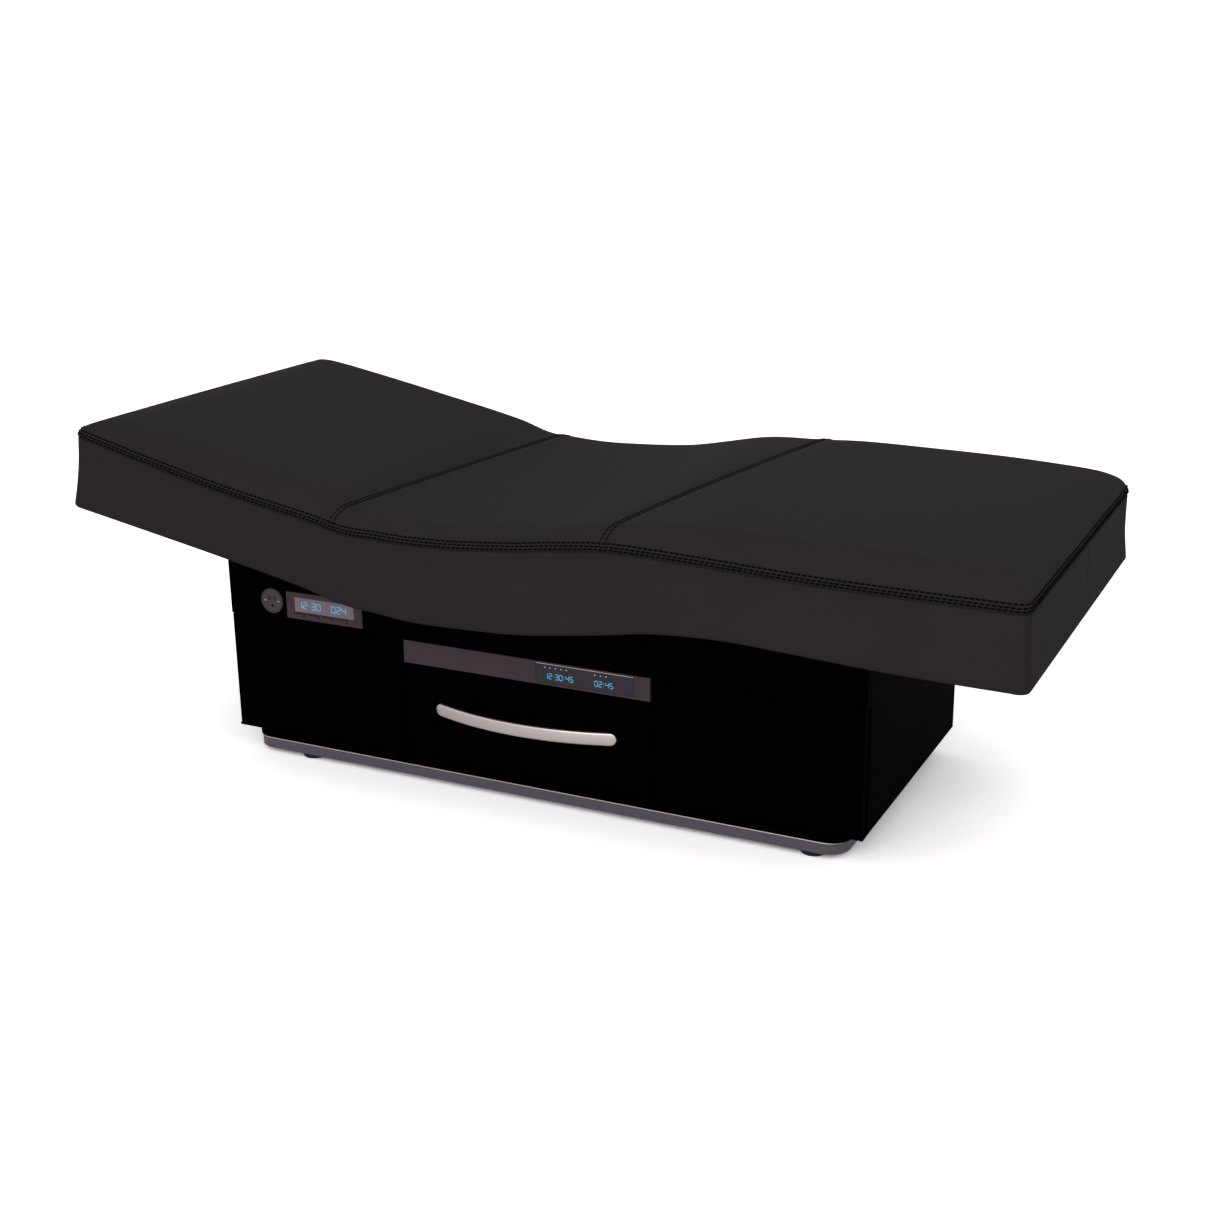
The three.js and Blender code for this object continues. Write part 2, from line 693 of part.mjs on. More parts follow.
function buildDrawer(cabinet) {
  const frontX = [
    doorEdgeReveal + doorWidth + doorGap,
    cabinetLength - doorEdgeReveal - doorWidth - doorGap,
  ];
  const front = block(frontX, [0, doorThickness], [sillThickness + sillGap, drawerTopZ]);
  piece(cabinet, 'drawer_front', front, blackLacquer);

  const bayX = bayWallSpans();
  const trayX = [bayX[0][1] + drawerSideGap, bayX[1][0] - drawerSideGap];
  const trayY = [doorThickness + seatGap, doorThickness + seatGap + drawerTrayDepth];
  const trayZ = [drawerTrayBottomZ, drawerTrayBottomZ + drawerTrayHeight];
  const hollow = block(
    [trayX[0] + drawerWall, trayX[1] - drawerWall],
    [trayY[0] + drawerWall, trayY[1] - drawerWall],
    [trayZ[0] + drawerFloor, trayZ[1] + cutOverrun],
  );
  piece(cabinet, 'drawer_tray', cut(block(trayX, trayY, trayZ), hollow), birchPly);

  // Each fixed rail is a channel on the bay wall, and its slide bar is screwed to the tray
  const railY = [carcassFrontY + slideGap, trayY[1]];
  const railZ = [railBottomZ, railBottomZ + railHeight];
  const grooveY = [railY[0] - cutOverrun, railY[1] + cutOverrun];
  const grooveZ = [railZ[0] + railWall, railZ[1] - railWall];
  const barZ = [grooveZ[0] + seatGap, grooveZ[1] - slideGap];
  const railDepth = drawerSideGap - seatGap - slideGap;
  [-1, 1].forEach((side, end) => {
    const wallX = side < 0 ? bayX[0][1] : bayX[1][0];
    const trayFaceX = side < 0 ? trayX[0] : trayX[1];
    const railX = [wallX - side * seatGap, wallX - side * (seatGap + railDepth)].sort((a, b) => a - b);
    const webX = wallX - side * (seatGap + railWall);
    const groove = [webX, webX - side * (railDepth + cutOverrun)].sort((a, b) => a - b);
    const rail = cut(block(railX, railY, railZ), block(groove, grooveY, grooveZ));
    piece(cabinet, `drawer_rail_${endNames[end]}`, rail, zincSteel);
    const barX = [webX - side * slideGap, trayFaceX + side * seatGap].sort((a, b) => a - b);
    piece(cabinet, `drawer_slide_${endNames[end]}`, block(barX, railY, barZ), zincSteel);
  });

  const middleX = (frontX[0] + frontX[1]) / 2;
  const handle = slabOf(handlePlan(), [handleBottomZ, handleBottomZ + handleHeight], 1);
  piece(cabinet, 'drawer_handle', handle, satinNickel).position.set(middleX, -seatGap, 0);
}

// The handle seen from above: a thin bow whose two feet stand on the drawer front
function handlePlan() {
  const half = handleLength / 2;
  const bowRadius = (half * half + handleBow * handleBow) / (2 * handleBow);
  const bowAt = (x, inset) => {
    const reach = Math.sqrt((bowRadius - inset) ** 2 - x * x);
    return bowRadius - handleBow - reach;
  };
  const shape = new THREE.Shape();
  shape.moveTo(-half, 0);
  for (let step = 1; step < handleSteps; step += 1) {
    const x = -half + (step * handleLength) / handleSteps;
    shape.lineTo(x, bowAt(x, 0));
  }
  shape.lineTo(half, 0);
  const innerHalf = half - handleFoot * 2;
  shape.lineTo(half - handleFoot, 0);
  for (let step = handleSteps; step >= 0; step -= 1) {
    const x = -innerHalf + (step * innerHalf * 2) / handleSteps;
    shape.lineTo(x, bowAt(x, handleThickness));
  }
  shape.lineTo(handleFoot - half, 0);
  shape.closePath();
  return shape;
}

// Dual drive: one housing with a tunnel, and a push rod with a slotted yoke at each end

function leverPin(hingeX, leverAngle) {
  const hingeTop = cabinetHeight + hingeRise;
  return {
    x: hingeX + leverLength * Math.sin(leverAngle),
    z: hingeTop - leverLength * Math.cos(leverAngle),
  };
}

function buildDrive(cabinet) {
  const lowestPinZ = cabinetHeight + hingeRise - leverLength;
  const rodZ = about(lowestPinZ + yokeSlotHeight / 4, rodSize);
  const tunnel = rodSize + 2 * rodGap;
  const driveX = [
    backHingeFromHeadPanel + driveFromBackHinge,
    legHingeFromHeadPanel - driveFromLegHinge,
  ];
  const driveZ = [rodZ[0] - rodGap - driveBottomWall, topBoardBottomZ - seatGap];
  const housing = cut(
    block(driveX, about(cabinetMidY, driveWidth), driveZ),
    block(
      [driveX[0] - cutOverrun, driveX[1] + cutOverrun],
      about(cabinetMidY, tunnel),
      [rodZ[0] - rodGap, rodZ[1] + rodGap],
    ),
  );
  piece(cabinet, 'drive_housing', housing, darkPlastic);

  const yokeZ = about(lowestPinZ + yokeSlotHeight / 4, yokeHeight);
  const slotZ = about(lowestPinZ + yokeSlotHeight / 4, yokeSlotHeight);
  const slotWidth = 2 * (leverPinRadius + yokeSlotGap);
  const pushers = [
    ['back_pusher', leverPin(backHingeFromHeadPanel, backLeverRestAngle).x, 1],
    ['leg_pusher', leverPin(legHingeFromHeadPanel, legLeverRestAngle).x, -1],
  ];
  for (const [name, pinX, towardDrive] of pushers) {
    const rodX = [pinX + towardDrive * slotWidth, pinX + towardDrive * rodLength].sort((a, b) => a - b);
    const spanY = about(cabinetMidY, rodSize);
    const pusher = cut(
      join(block(about(pinX, yokeWidth), spanY, yokeZ), block(rodX, spanY, rodZ)),
      block(about(pinX, slotWidth), about(cabinetMidY, rodSize + 2 * cutOverrun), slotZ),
    );
    piece(cabinet, name, pusher, zincSteel);
  }
}

// Frames of the top: flat state, X from the hinge axis, Z from the hinge axis

// A lever of two plates with a pin between them, hanging from the hinge tube
function leverGeometry(angle) {
  const outline = new THREE.Shape();
  const radius = leverWidth / 2;
  outline.absarc(0, 0, radius, 0, Math.PI);
  outline.absarc(0, -leverLength, radius, Math.PI, 2 * Math.PI);
  outline.closePath();
  const plateInner = rodSize / 2 + slideGap;
  const plates = [plateInner, -plateInner - leverThickness].map((y) => {
    const shapeOf = { depth: leverThickness, bevelEnabled: false, curveSegments: 8 };
    const plate = new THREE.ExtrudeGeometry(outline, shapeOf);
    return plate.rotateX(Math.PI / 2).translate(0, y + leverThickness, 0);
  });
  const pinReach = plateInner + leverThickness / 2;
  const pin = barAlongY(leverPinRadius, [-pinReach, pinReach], 0, -leverLength, 16);
  return join(plates[0], plates[1], pin).rotateY(-angle);
}

// A tilting frame: hinge tube, two side tubes, a middle and an end tube, and the lever
function tiltingFrame(direction, length, leverAngle) {
  const endX = direction * (length - frameEndInset);
  const alongX = [0, endX].sort((a, b) => a - b);
  const thick = about(0, tubeSize);
  const acrossY = about(0, 2 * sectionFrameReach);
  const hingeTube = barAlongY(tubeRadius, acrossY, 0, 0, hingeSides);
  const sideTubes = [-1, 1].map((side) => block(
    alongX, about(side * (sectionFrameReach - tubeRadius), tubeSize), thick,
  ));
  const crossTubes = [endX - direction * tubeRadius, endX / 2].map((x) => block(
    about(x, tubeSize), acrossY, thick,
  ));
  return join(hingeTube, ...sideTubes, ...crossTubes, leverGeometry(leverAngle));
}

function buildFrames() {
  const back = new THREE.Group();
  back.position.set(backHingeX, 0, hingeZ);
  back.rotation.y = backRestAngle;
  const leg = new THREE.Group();
  leg.position.set(legHingeX, 0, hingeZ);
  table.add(back, leg);

  const deckZ = [deckBottomRise, deckTopRise];
  const deckY = about(0, topWidth - 2 * skirtWall - 2 * deckFit);
  const deckEnd = skirtWall + deckFit;
  piece(back, 'back_frame', tiltingFrame(-1, backLength, backLeverRestAngle + backRestAngle), framePaint);
  piece(back, 'back_deck', block([-backLength + deckEnd, -deckSetback], deckY, deckZ), birchPly);
  piece(leg, 'leg_frame', tiltingFrame(1, legLength, legLeverRestAngle), framePaint);
  piece(leg, 'leg_deck', block([deckSetback, legLength - deckEnd], deckY, deckZ), birchPly);

  // Seat frame: bolted down through the top board, with a bearing lug at each hinge tube
  const seat = new THREE.Group();
  seat.position.set(backHingeX, 0, hingeZ);
  table.add(seat);
  const railZ = [seatGap - hingeRise, tubeRadius];
  const railX = [seatRailSetback, seatLength - seatRailSetback];
  const rails = [-1, 1].map((side) => block(
    railX, about(side * (seatFrameReach - tubeRadius), tubeSize), railZ,
  ));
  const crossRails = [railX[0] + tubeRadius, railX[1] - tubeRadius].map((x) => block(
    about(x, tubeSize), about(0, 2 * seatFrameReach), railZ,
  ));
  const lugs = [];
  const bores = [];
  for (const hingeX of [0, seatLength]) {
    const rootX = hingeX === 0 ? railX[0] : railX[1];
    for (const side of [-1, 1]) {
      const lugY = about(side * (seatFrameReach - lugInset), lugThickness);
      lugs.push(barAlongY(tubeRadius + lugWall, lugY, hingeX, 0, hingeSides));
      const lugX = [hingeX, rootX + Math.sign(rootX - hingeX) * lugRoot].sort((a, b) => a - b);
      lugs.push(block(lugX, lugY, [-tubeRadius, tubeRadius]));
      bores.push(barAlongY(
        tubeRadius + hingeBoreGap, [lugY[0] - cutOverrun, lugY[1] + cutOverrun], hingeX, 0, hingeSides,
      ));
    }
  }
  // The lugs are cut flat where they stand on the top board
  const lugFloor = block(
    [-2 * tubeSize, seatLength + 2 * tubeSize],
    about(0, 2 * seatFrameReach + cutOverrun),
    [-2 * hingeRise, railZ[0]],
  );
  const seatFrame = cut(join(rails[0], rails[1], ...crossRails, ...lugs), lugFloor, ...bores);
  piece(seat, 'seat_frame', seatFrame, framePaint);
  piece(seat, 'seat_deck', block([deckSetback, seatLength - deckSetback], deckY, deckZ), birchPly);
}

// Padding of the top. It is drawn flat, X from the back hinge, and then bent to the rest angle.

// Smooth values of the top's lines at a place along it
const lineCurves = [1, 2, 3].map((column) => new THREE.SplineCurve(
  topLineShares.map((row) => new THREE.Vector2(row[0] * topLength, row[column] * bandHeight)),
));

function lineAt(column, x) {
  const along = THREE.MathUtils.clamp(x + backLength, 0, topLength);
  const curve = lineCurves[column];
  let low = 0;
  let high = 1;
  for (let step = 0; step < 30; step += 1) {
    const middle = (low + high) / 2;
    if (curve.getPoint(middle).x < along) {
      low = middle;
    } else {
      high = middle;
    }
  }
  return curve.getPoint((low + high) / 2).y;
}

function halfWidthAt(x) {
  const toEnd = Math.min(x + backLength, topLength - backLength - x);
  const intoCorner = Math.max(topCornerRadius - toEnd, 0);
  const inset = topCornerRadius - Math.sqrt(topCornerRadius ** 2 - intoCorner ** 2);
  return topWidth / 2 - inset;
}

// Height of the padding's surface: up over a round shoulder from the seam to a nearly flat crown
function crownAt(x, y) {
  const half = halfWidthAt(x);
  const toEnd = Math.min(x + backLength, topLength - backLength - x);
  const toEdge = Math.min(toEnd, half - Math.abs(y));
  const share = THREE.MathUtils.clamp(toEdge / shoulderWidth, 0, 1);
  const shoulder = Math.sqrt(1 - (1 - share) ** 2);
  const arch = crownArch * (1 - (y / half) ** 2);
  const seamDips = [0, seatLength].map((seamX) => {
    const near = Math.max(1 - Math.abs(x - seamX) / crossSeamHalfWidth, 0);
    return near * crossSeamDepth;
  });
  return lineAt(1, x) + seamHalfWidth + lineAt(2, x) * shoulder + arch - Math.max(...seamDips);
}

// One closed section across the padding, as points round it from the top's middle
function crossSection(x) {
  const half = halfWidthAt(x);
  const seamZ = lineAt(1, x);
  const skirtZ = lineAt(0, x);
  const side = acrossShares.map((share) => [share * half, crownAt(x, share * half), 0]);
  side.push([half, seamZ + seamHalfWidth, 0]);
  side.push([half - seamDepth, seamZ, seamDepth]);
  side.push([half, seamZ - seamHalfWidth, 0]);
  for (const share of bandShares) {
    const drawn = bandDrawIn * Math.sin(Math.PI * share);
    const z = THREE.MathUtils.lerp(seamZ - seamHalfWidth, skirtZ, share);
    side.push([half - drawn, z, drawn]);
  }
  side.push([half, skirtZ, 0]);
  const far = side.map(([y, z, drawn]) => [-y, z, drawn]).reverse();
  return [[0, crownAt(x, 0), 0], ...side, ...far];
}

// A closed loft through cross sections between two places along the top
function paddingLoft([x0, x1]) {
  const stations = [x0, x1];
  const count = Math.ceil((x1 - x0) / stationSpacing);
  for (let step = 1; step < count; step += 1) {
    stations.push(THREE.MathUtils.lerp(x0, x1, step / count));
  }
  if (x0 === -backLength) {
    stations.push(...cornerShares.map((share) => x0 + share * topCornerRadius));
  }
  if (x1 === topLength - backLength) {
    stations.push(...cornerShares.map((share) => x1 - share * topCornerRadius));
  }
  for (const seamX of [0, seatLength]) {
    stations.push(seamX - crossSeamHalfWidth, seamX, seamX + crossSeamHalfWidth);
  }
  const inside = [...new Set(stations)].filter((x) => x >= x0 && x <= x1).sort((a, b) => a - b);
  const rings = inside.map(crossSection);
  const around = rings[0].length;
  const positions = [];
  rings.forEach((ring, station) => {
    for (const [y, z, drawn] of ring) {
      const atHead = inside[station] === -backLength ? drawn : 0;
      const atFoot = inside[station] === topLength - backLength ? drawn : 0;
      positions.push(inside[station] + atHead - atFoot, y, z);
    }
  });
  const faces = [];
  for (let ring = 0; ring + 1 < rings.length; ring += 1) {
    for (let place = 0; place < around; place += 1) {
      const a = ring * around + place;
      const b = ring * around + ((place + 1) % around);
      faces.push(a, b + around, b, a, a + around, b + around);
    }
  }
  const last = (rings.length - 1) * around;
  for (let place = 1; place <= (around - 1) / 2; place += 1) {
    const mirror = around - place;
    if (place === 1) {
      faces.push(0, 1, mirror);
      faces.push(last, last + mirror, last + 1);
    } else {
      faces.push(place - 1, place, mirror, place - 1, mirror, mirror + 1);
      faces.push(last + place - 1, last + mirror, last + place);
      faces.push(last + place - 1, last + mirror + 1, last + mirror);
    }
  }
  const geometry = new THREE.BufferGeometry();
  geometry.setAttribute('position', new THREE.Float32BufferAttribute(positions, 3));
  geometry.setIndex(faces);
  return geometry;
}

// Turns the flat padding about the back hinge: fully past the flexible stretch, less within it
function bendToRest(geometry) {
  const positions = geometry.attributes.position;
  for (let index = 0; index < positions.count; index += 1) {
    const x = positions.getX(index);
    const z = positions.getZ(index);
    const share = THREE.MathUtils.smoothstep(-x, -bendReach, bendReach);
    const angle = backRestAngle * share;
    positions.setX(index, x * Math.cos(angle) + z * Math.sin(angle));
    positions.setZ(index, z * Math.cos(angle) - x * Math.sin(angle));
  }
  geometry.computeVertexNormals();
  return geometry;
}

function buildPadding() {
  const padding = new THREE.Group();
  padding.position.set(backHingeX, 0, hingeZ);
  table.add(padding);
  const footX = topLength - backLength;
  const halfGap = seatGap / 2;
  const stretches = [
    ['back_cushion', -backLength, -bendReach, blackVinyl],
    ['back_flex_foam', -bendReach, bendReach, foamGrey],
    ['seat_cushion', bendReach, seatLength - bendReach, blackVinyl],
    ['leg_flex_foam', seatLength - bendReach, seatLength + bendReach, foamGrey],
    ['leg_cushion', seatLength + bendReach, footX, blackVinyl],
  ];
  const pocketY = about(0, topWidth - 2 * skirtWall);
  const pocketZ = [-bandHeight, deckTopRise + seatGap];
  for (const [name, from, to, material] of stretches) {
    const span = [
      from === -backLength ? from : from + halfGap,
      to === footX ? to : to - halfGap,
    ];
    const pocketX = [
      from === -backLength ? from + skirtWall : from - cutOverrun,
      to === footX ? to - skirtWall : to + cutOverrun,
    ];
    const body = cut(paddingLoft(span), block(pocketX, pocketY, pocketZ));
    piece(padding, name, bendToRest(body), material);
  }
}

// The table is put together from the plinth up
const plinthTopZ = buildPlinth();
buildColumns(plinthTopZ);
const cabinet = new THREE.Group();
cabinet.position.set(cabinetX, cabinetY, cabinetBottomZ);
table.add(cabinet);
buildCarcass(cabinet);
buildDoors(cabinet);
buildLiftFrame(cabinet);
buildControlStrip(cabinet);
buildControlPanel(cabinet);
buildOutlet(cabinet);
buildMains(cabinet);
buildDrawer(cabinet);
buildDrive(cabinet);
buildFrames();
buildPadding();

export default table;
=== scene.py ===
# A spa treatment table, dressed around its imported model.
# Everything is in metres in the model's own frame: X runs from the head end to the foot end,
# the drawer faces -Y, +Z is up, and the floor is at zero.

import json
import math

import bmesh
import bpy
import numpy as np
from mathutils import Matrix, Vector, noise


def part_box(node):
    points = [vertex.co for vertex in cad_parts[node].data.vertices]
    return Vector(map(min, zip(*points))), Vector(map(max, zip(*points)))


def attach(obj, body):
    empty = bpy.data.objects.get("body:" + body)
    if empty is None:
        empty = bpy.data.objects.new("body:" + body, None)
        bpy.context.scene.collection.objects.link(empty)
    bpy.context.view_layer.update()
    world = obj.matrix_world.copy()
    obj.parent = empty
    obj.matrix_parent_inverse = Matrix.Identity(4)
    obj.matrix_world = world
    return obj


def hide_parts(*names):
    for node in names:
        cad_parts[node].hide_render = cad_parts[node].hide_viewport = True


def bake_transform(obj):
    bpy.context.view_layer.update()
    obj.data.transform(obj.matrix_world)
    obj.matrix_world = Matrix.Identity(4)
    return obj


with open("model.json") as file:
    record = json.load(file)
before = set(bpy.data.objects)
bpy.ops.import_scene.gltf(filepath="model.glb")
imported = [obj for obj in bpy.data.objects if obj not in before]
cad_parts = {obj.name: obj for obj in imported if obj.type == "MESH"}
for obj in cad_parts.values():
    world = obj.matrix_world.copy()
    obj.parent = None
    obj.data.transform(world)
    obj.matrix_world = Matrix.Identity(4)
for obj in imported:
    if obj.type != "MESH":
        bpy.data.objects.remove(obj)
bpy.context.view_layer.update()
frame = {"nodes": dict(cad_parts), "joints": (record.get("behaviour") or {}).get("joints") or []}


# Plinth tray: a low tray of pressed steel with round corners. It carries the lifting columns
# and stands on four feet. Powder coat in grey-violet, and a bare rolled bead along its top edge.
MM = 0.001
TRAY_CORNER = 40 * MM
TRAY_BEAD_RADIUS = 1.1 * MM
PLINTH_EDGE = 1.6 * MM
POWDER_TONE = 60 * MM
POWDER_PEEL = 1.6 * MM
WELD_DISTANCE = 0.01 * MM
FLAT_ANGLE = math.radians(0.5)
SHARP_ANGLE = math.radians(35)


def linear(code):
    """An sRGB hex colour as the linear values that a shader takes."""
    shares = [int(code[place:place + 2], 16) / 255 for place in (1, 3, 5)]
    return (*[c / 12.92 if c <= 0.04045 else ((c + 0.055) / 1.055) ** 2.4 for c in shares], 1)


def put(tree, kind, inputs=None, **settings):
    """Adds a shader node. Each input takes a value, or the output socket that feeds it."""
    made = tree.nodes.new("ShaderNode" + kind)
    for name, value in settings.items():
        setattr(made, name, value)
    for name, value in (inputs or {}).items():
        if isinstance(value, bpy.types.NodeSocket):
            tree.links.new(value, made.inputs[name])
        else:
            made.inputs[name].default_value = value
    return made


def new_finish(name):
    """A material with an empty shader, and the place on the piece that its patterns follow."""
    finish = bpy.data.materials.new(name)
    finish.use_nodes = True
    finish.node_tree.nodes.clear()
    place = put(finish.node_tree, "TexCoord").outputs["Object"]
    return finish, finish.node_tree, place


def close_finish(finish, sockets):
    """Ends a material in one shader with the given sockets."""
    tree = finish.node_tree
    shader = put(tree, "BsdfPrincipled", sockets)
    put(tree, "OutputMaterial", {"Surface": shader.outputs["BSDF"]})
    finish.diffuse_color = tuple(shader.inputs["Base Color"].default_value)
    return finish


def mottle(tree, place, size, detail=2, distortion=0):
    """Noise in patches of about one size, from 0 to 1."""
    return put(tree, "TexNoise", {
        "Vector": place, "Scale": 1 / size, "Detail": detail, "Distortion": distortion,
    }).outputs["Fac"]


def between(tree, share, low, high):
    """A value that goes from low to high with a share."""
    return put(tree, "MapRange", {
        "Value": share, "To Min": low, "To Max": high,
    }).outputs["Result"]


def tones(tree, share, first, second):
    """A colour that goes from the first to the second with a share. Each is a code or a socket."""
    first, second = [linear(tone) if isinstance(tone, str) else tone for tone in (first, second)]
    return put(tree, "Mix", {
        "Factor": share, "A": first, "B": second,
    }, data_type="RGBA").outputs["Result"]


def relief(tree, height, strength, distance):
    """Shading for a grain that is too fine to model."""
    return put(tree, "Bump", {
        "Height": height, "Strength": strength, "Distance": distance,
    }).outputs["Normal"]


def powder_coat(name, colour, shade):
    """Baked polyester powder: an even satin skin with a fine orange peel."""
    finish, tree, place = new_finish(name)
    tone = mottle(tree, place, POWDER_TONE, detail=3)
    peel = mottle(tree, place, POWDER_PEEL)
    return close_finish(finish, {
        "Base Color": tones(tree, tone, colour, shade), "Roughness": 0.36,
        "Specular IOR Level": 0.45, "Normal": relief(tree, peel, strength=0.12, distance=0.2 * MM),
    })


def dress(name, finish, edge):
    """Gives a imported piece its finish, and eases its sharp edges by a small radius."""
    node = frame["nodes"][name]
    if "custom_normal" in node.data.attributes:
        node.data.attributes.remove(node.data.attributes["custom_normal"])
    node.data.materials.clear()
    node.data.materials.append(finish)
    node.data.shade_smooth()
    node.modifiers.new("weld", "WELD").merge_threshold = WELD_DISTANCE
    planes = node.modifiers.new("planes", "DECIMATE")
    planes.decimate_type = "DISSOLVE"
    planes.angle_limit = FLAT_ANGLE
    ease = node.modifiers.new("ease", "BEVEL")
    ease.width = edge
    ease.segments = 2
    ease.limit_method = "ANGLE"
    ease.angle_limit = SHARP_ANGLE
    ease.use_clamp_overlap = True
    ease.harden_normals = True


def new_object(name, points, faces):
    """A mesh object in the scene, from its points and faces."""
    mesh = bpy.data.meshes.new(name)
    mesh.from_pydata([tuple(point) for point in points], [], [tuple(face) for face in faces])
    made = bpy.data.objects.new(name, mesh)
    bpy.context.scene.collection.objects.link(made)
    return made


def mesh_piece(name, points, faces, finish, body, slot, smooth=True):
    """A new piece from its points and faces, riding on a body."""
    piece = new_object(name, points, faces)
    piece.data.validate()
    if smooth:
        piece.data.shade_smooth()
    piece.data.materials.append(finish)
    if body:
        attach(piece, body)
    return piece


def loft(rings, closed=False):
    """Points and faces of a skin over rings of points that all have as many points."""
    rings = [np.asarray(ring, float) for ring in rings]
    around = len(rings[0])
    last = len(rings) if closed else len(rings) - 1
    faces = []
    for ring in range(last):
        low = ring * around
        high = ((ring + 1) % len(rings)) * around
        for place in range(around):
            after = (place + 1) % around
            faces.append((low + place, low + after, high + after, high + place))
    if not closed:
        faces.append(tuple(range(around))[::-1])
        faces.append(tuple(last * around + place for place in range(around)))
    return np.concatenate(rings), faces


def circle(radius, sides):
    """Points of a circle in its own plane."""
    turns = np.arange(sides) * 2 * math.pi / sides
    return np.stack([np.cos(turns), np.sin(turns)], 1) * radius


def rounded_outline(low, high, radius, steps=8):
    """A rounded rectangle in its own plane, from the corner at high x and low y round."""
    left, right = low[0] + radius, high[0] - radius
    near, far = low[1] + radius, high[1] - radius
    outline = []
    for x, y, quarter in ((right, near, -1), (right, far, 0), (left, far, 1), (left, near, 2)):
        for step in range(steps + 1):
            turn = (quarter + step / steps) * math.pi / 2
            outline.append((x + radius * math.cos(turn), y + radius * math.sin(turn)))
    return np.array(outline)


grey_violet_powder = powder_coat("grey_violet_powder_coat", "#544d59", "#4c4551")
tray_low, tray_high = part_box("plinth_tray")
dress("plinth_tray", grey_violet_powder, PLINTH_EDGE)


def bright_steel_edge():
    """Bare rolled steel edge, brushed by hand, warm where the light strikes it."""
    finish, tree, place = new_finish("bare_rolled_edge")
    streak = mottle(tree, place, 14 * MM)
    return close_finish(finish, {
        "Base Color": linear("#c9b8ac"), "Metallic": 1.0, "Roughness": between(tree, streak, 0.3, 0.5),
    })


bare_steel = bright_steel_edge()
bead_rings = []
bead_path = rounded_outline(tray_low, tray_high, TRAY_CORNER)
for here, before, after in zip(bead_path, np.roll(bead_path, 1, 0), np.roll(bead_path, -1, 0)):
    along = (after - before) / np.linalg.norm(after - before)
    out = np.array([along[1], -along[0]])
    bead_rings.append([
        (*(here + out * across), tray_high.z + up)
        for across, up in circle(TRAY_BEAD_RADIUS, sides=8)[::-1]
    ])
mesh_piece("plinth_bead", *loft(bead_rings, closed=True), bare_steel, "base", "plinth_paint")


# Plinth board: a black laminated board laid on the tray, so that nothing falls into it.
# Matt laminate with a faint tooth, edges sealed.
BOARD_EDGE = 1.2 * MM


def matt_laminate():
    """Pressed melamine laminate: nearly black, dry to the eye, with a faint speckle."""
    finish, tree, place = new_finish("black_melamine_laminate")
    speck = mottle(tree, place, 2.5 * MM, detail=4)
    return close_finish(finish, {
        "Base Color": tones(tree, speck, "#010101", "#030303"), "Roughness": 0.62,
        "Specular IOR Level": 0.002, "Normal": relief(tree, speck, strength=0.1, distance=0.1 * MM),
    })


black_laminate = matt_laminate()
dress("plinth_deck", black_laminate, BOARD_EDGE)
dress("floor_panel", black_laminate, BOARD_EDGE)


# Levelling feet: moulded rubber pads on a threaded stem that turns up into the tray.
# A rounded tread edge and a ring of grip ribs round the side.
FOOT_RADIUS = 24 * MM
FOOT_HEIGHT = 9.7 * MM
FOOT_STEM_RADIUS = 5 * MM
FOOT_STEM_TOP = 27 * MM
FOOT_RIBS = 28
GROOVE_SHARE = 0.975


def black_rubber():
    """Moulded rubber: dull, a little dusty, with no clear highlight."""
    finish, tree, place = new_finish("moulded_black_rubber")
    dust = mottle(tree, place, 6 * MM, detail=5)
    return close_finish(finish, {
        "Base Color": tones(tree, dust, "#0c0b0c", "#1b191b"),
        "Roughness": 0.8, "Specular IOR Level": 0.3,
    })


rubber = black_rubber()
# Outline of a foot from the floor up, each: radius and height
foot_profile = [
    (FOOT_RADIUS * 0.86, 0), (FOOT_RADIUS * 0.93, 0.5 * MM), (FOOT_RADIUS * 0.98, 1.6 * MM),
    (FOOT_RADIUS, 3 * MM), (FOOT_RADIUS, FOOT_HEIGHT - 2 * MM),
    (FOOT_RADIUS * 0.97, FOOT_HEIGHT - 0.6 * MM), (FOOT_RADIUS * 0.9, FOOT_HEIGHT),
    (FOOT_STEM_RADIUS * 1.2, FOOT_HEIGHT), (FOOT_STEM_RADIUS, FOOT_HEIGHT + MM),
    (FOOT_STEM_RADIUS, FOOT_STEM_TOP - MM), (FOOT_STEM_RADIUS * 0.8, FOOT_STEM_TOP),
]
for place in ("front_left", "front_right", "rear_left", "rear_right"):
    low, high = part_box("levelling_foot_" + place)
    middle = (low + high) / 2
    rings = []
    for radius, height in foot_profile:
        ring = circle(radius, 2 * FOOT_RIBS)
        if 2 * MM < height < FOOT_HEIGHT - MM:
            ring[1::2] *= GROOVE_SHARE
        rings.append([(middle.x + x, middle.y + y, height) for x, y in ring])
    foot = mesh_piece("rubber_foot_" + place, *loft(rings), rubber, "foot_" + place, "foot_rubber")
    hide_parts("levelling_foot_" + place)


# Lifting columns: three square steel stages each, sliding in one another. The outer stage is
# powder coated and bolted to the plinth, and the two inner ones are ground and left bright.
COLUMN_EDGE = 1 * MM
GRIND_STEP = 2 * MM


def ground_steel(name, colour, direction):
    """Steel ground along one direction: soft stretched highlights and fine drawn lines."""
    finish, tree, place = new_finish(name)
    drawn = put(tree, "Mapping", {"Vector": place, "Scale": direction})
    lines = mottle(tree, drawn.outputs["Vector"], GRIND_STEP, detail=4)
    return close_finish(finish, {
        "Base Color": linear(colour), "Metallic": 1.0, "Roughness": between(tree, lines, 0.25, 0.48),
        "Normal": relief(tree, lines, strength=0.08, distance=0.1 * MM),
    })


column_steel = ground_steel("ground_column_steel", "#b4b4b6", (1, 1, 0.03))
frame_powder = powder_coat("black_powder_coat", "#1c1c1e", "#171719")
for side in ("left", "right"):
    dress("column_base_" + side, frame_powder, COLUMN_EDGE)
    dress("column_middle_" + side, column_steel, COLUMN_EDGE)
    dress("column_top_" + side, column_steel, COLUMN_EDGE)


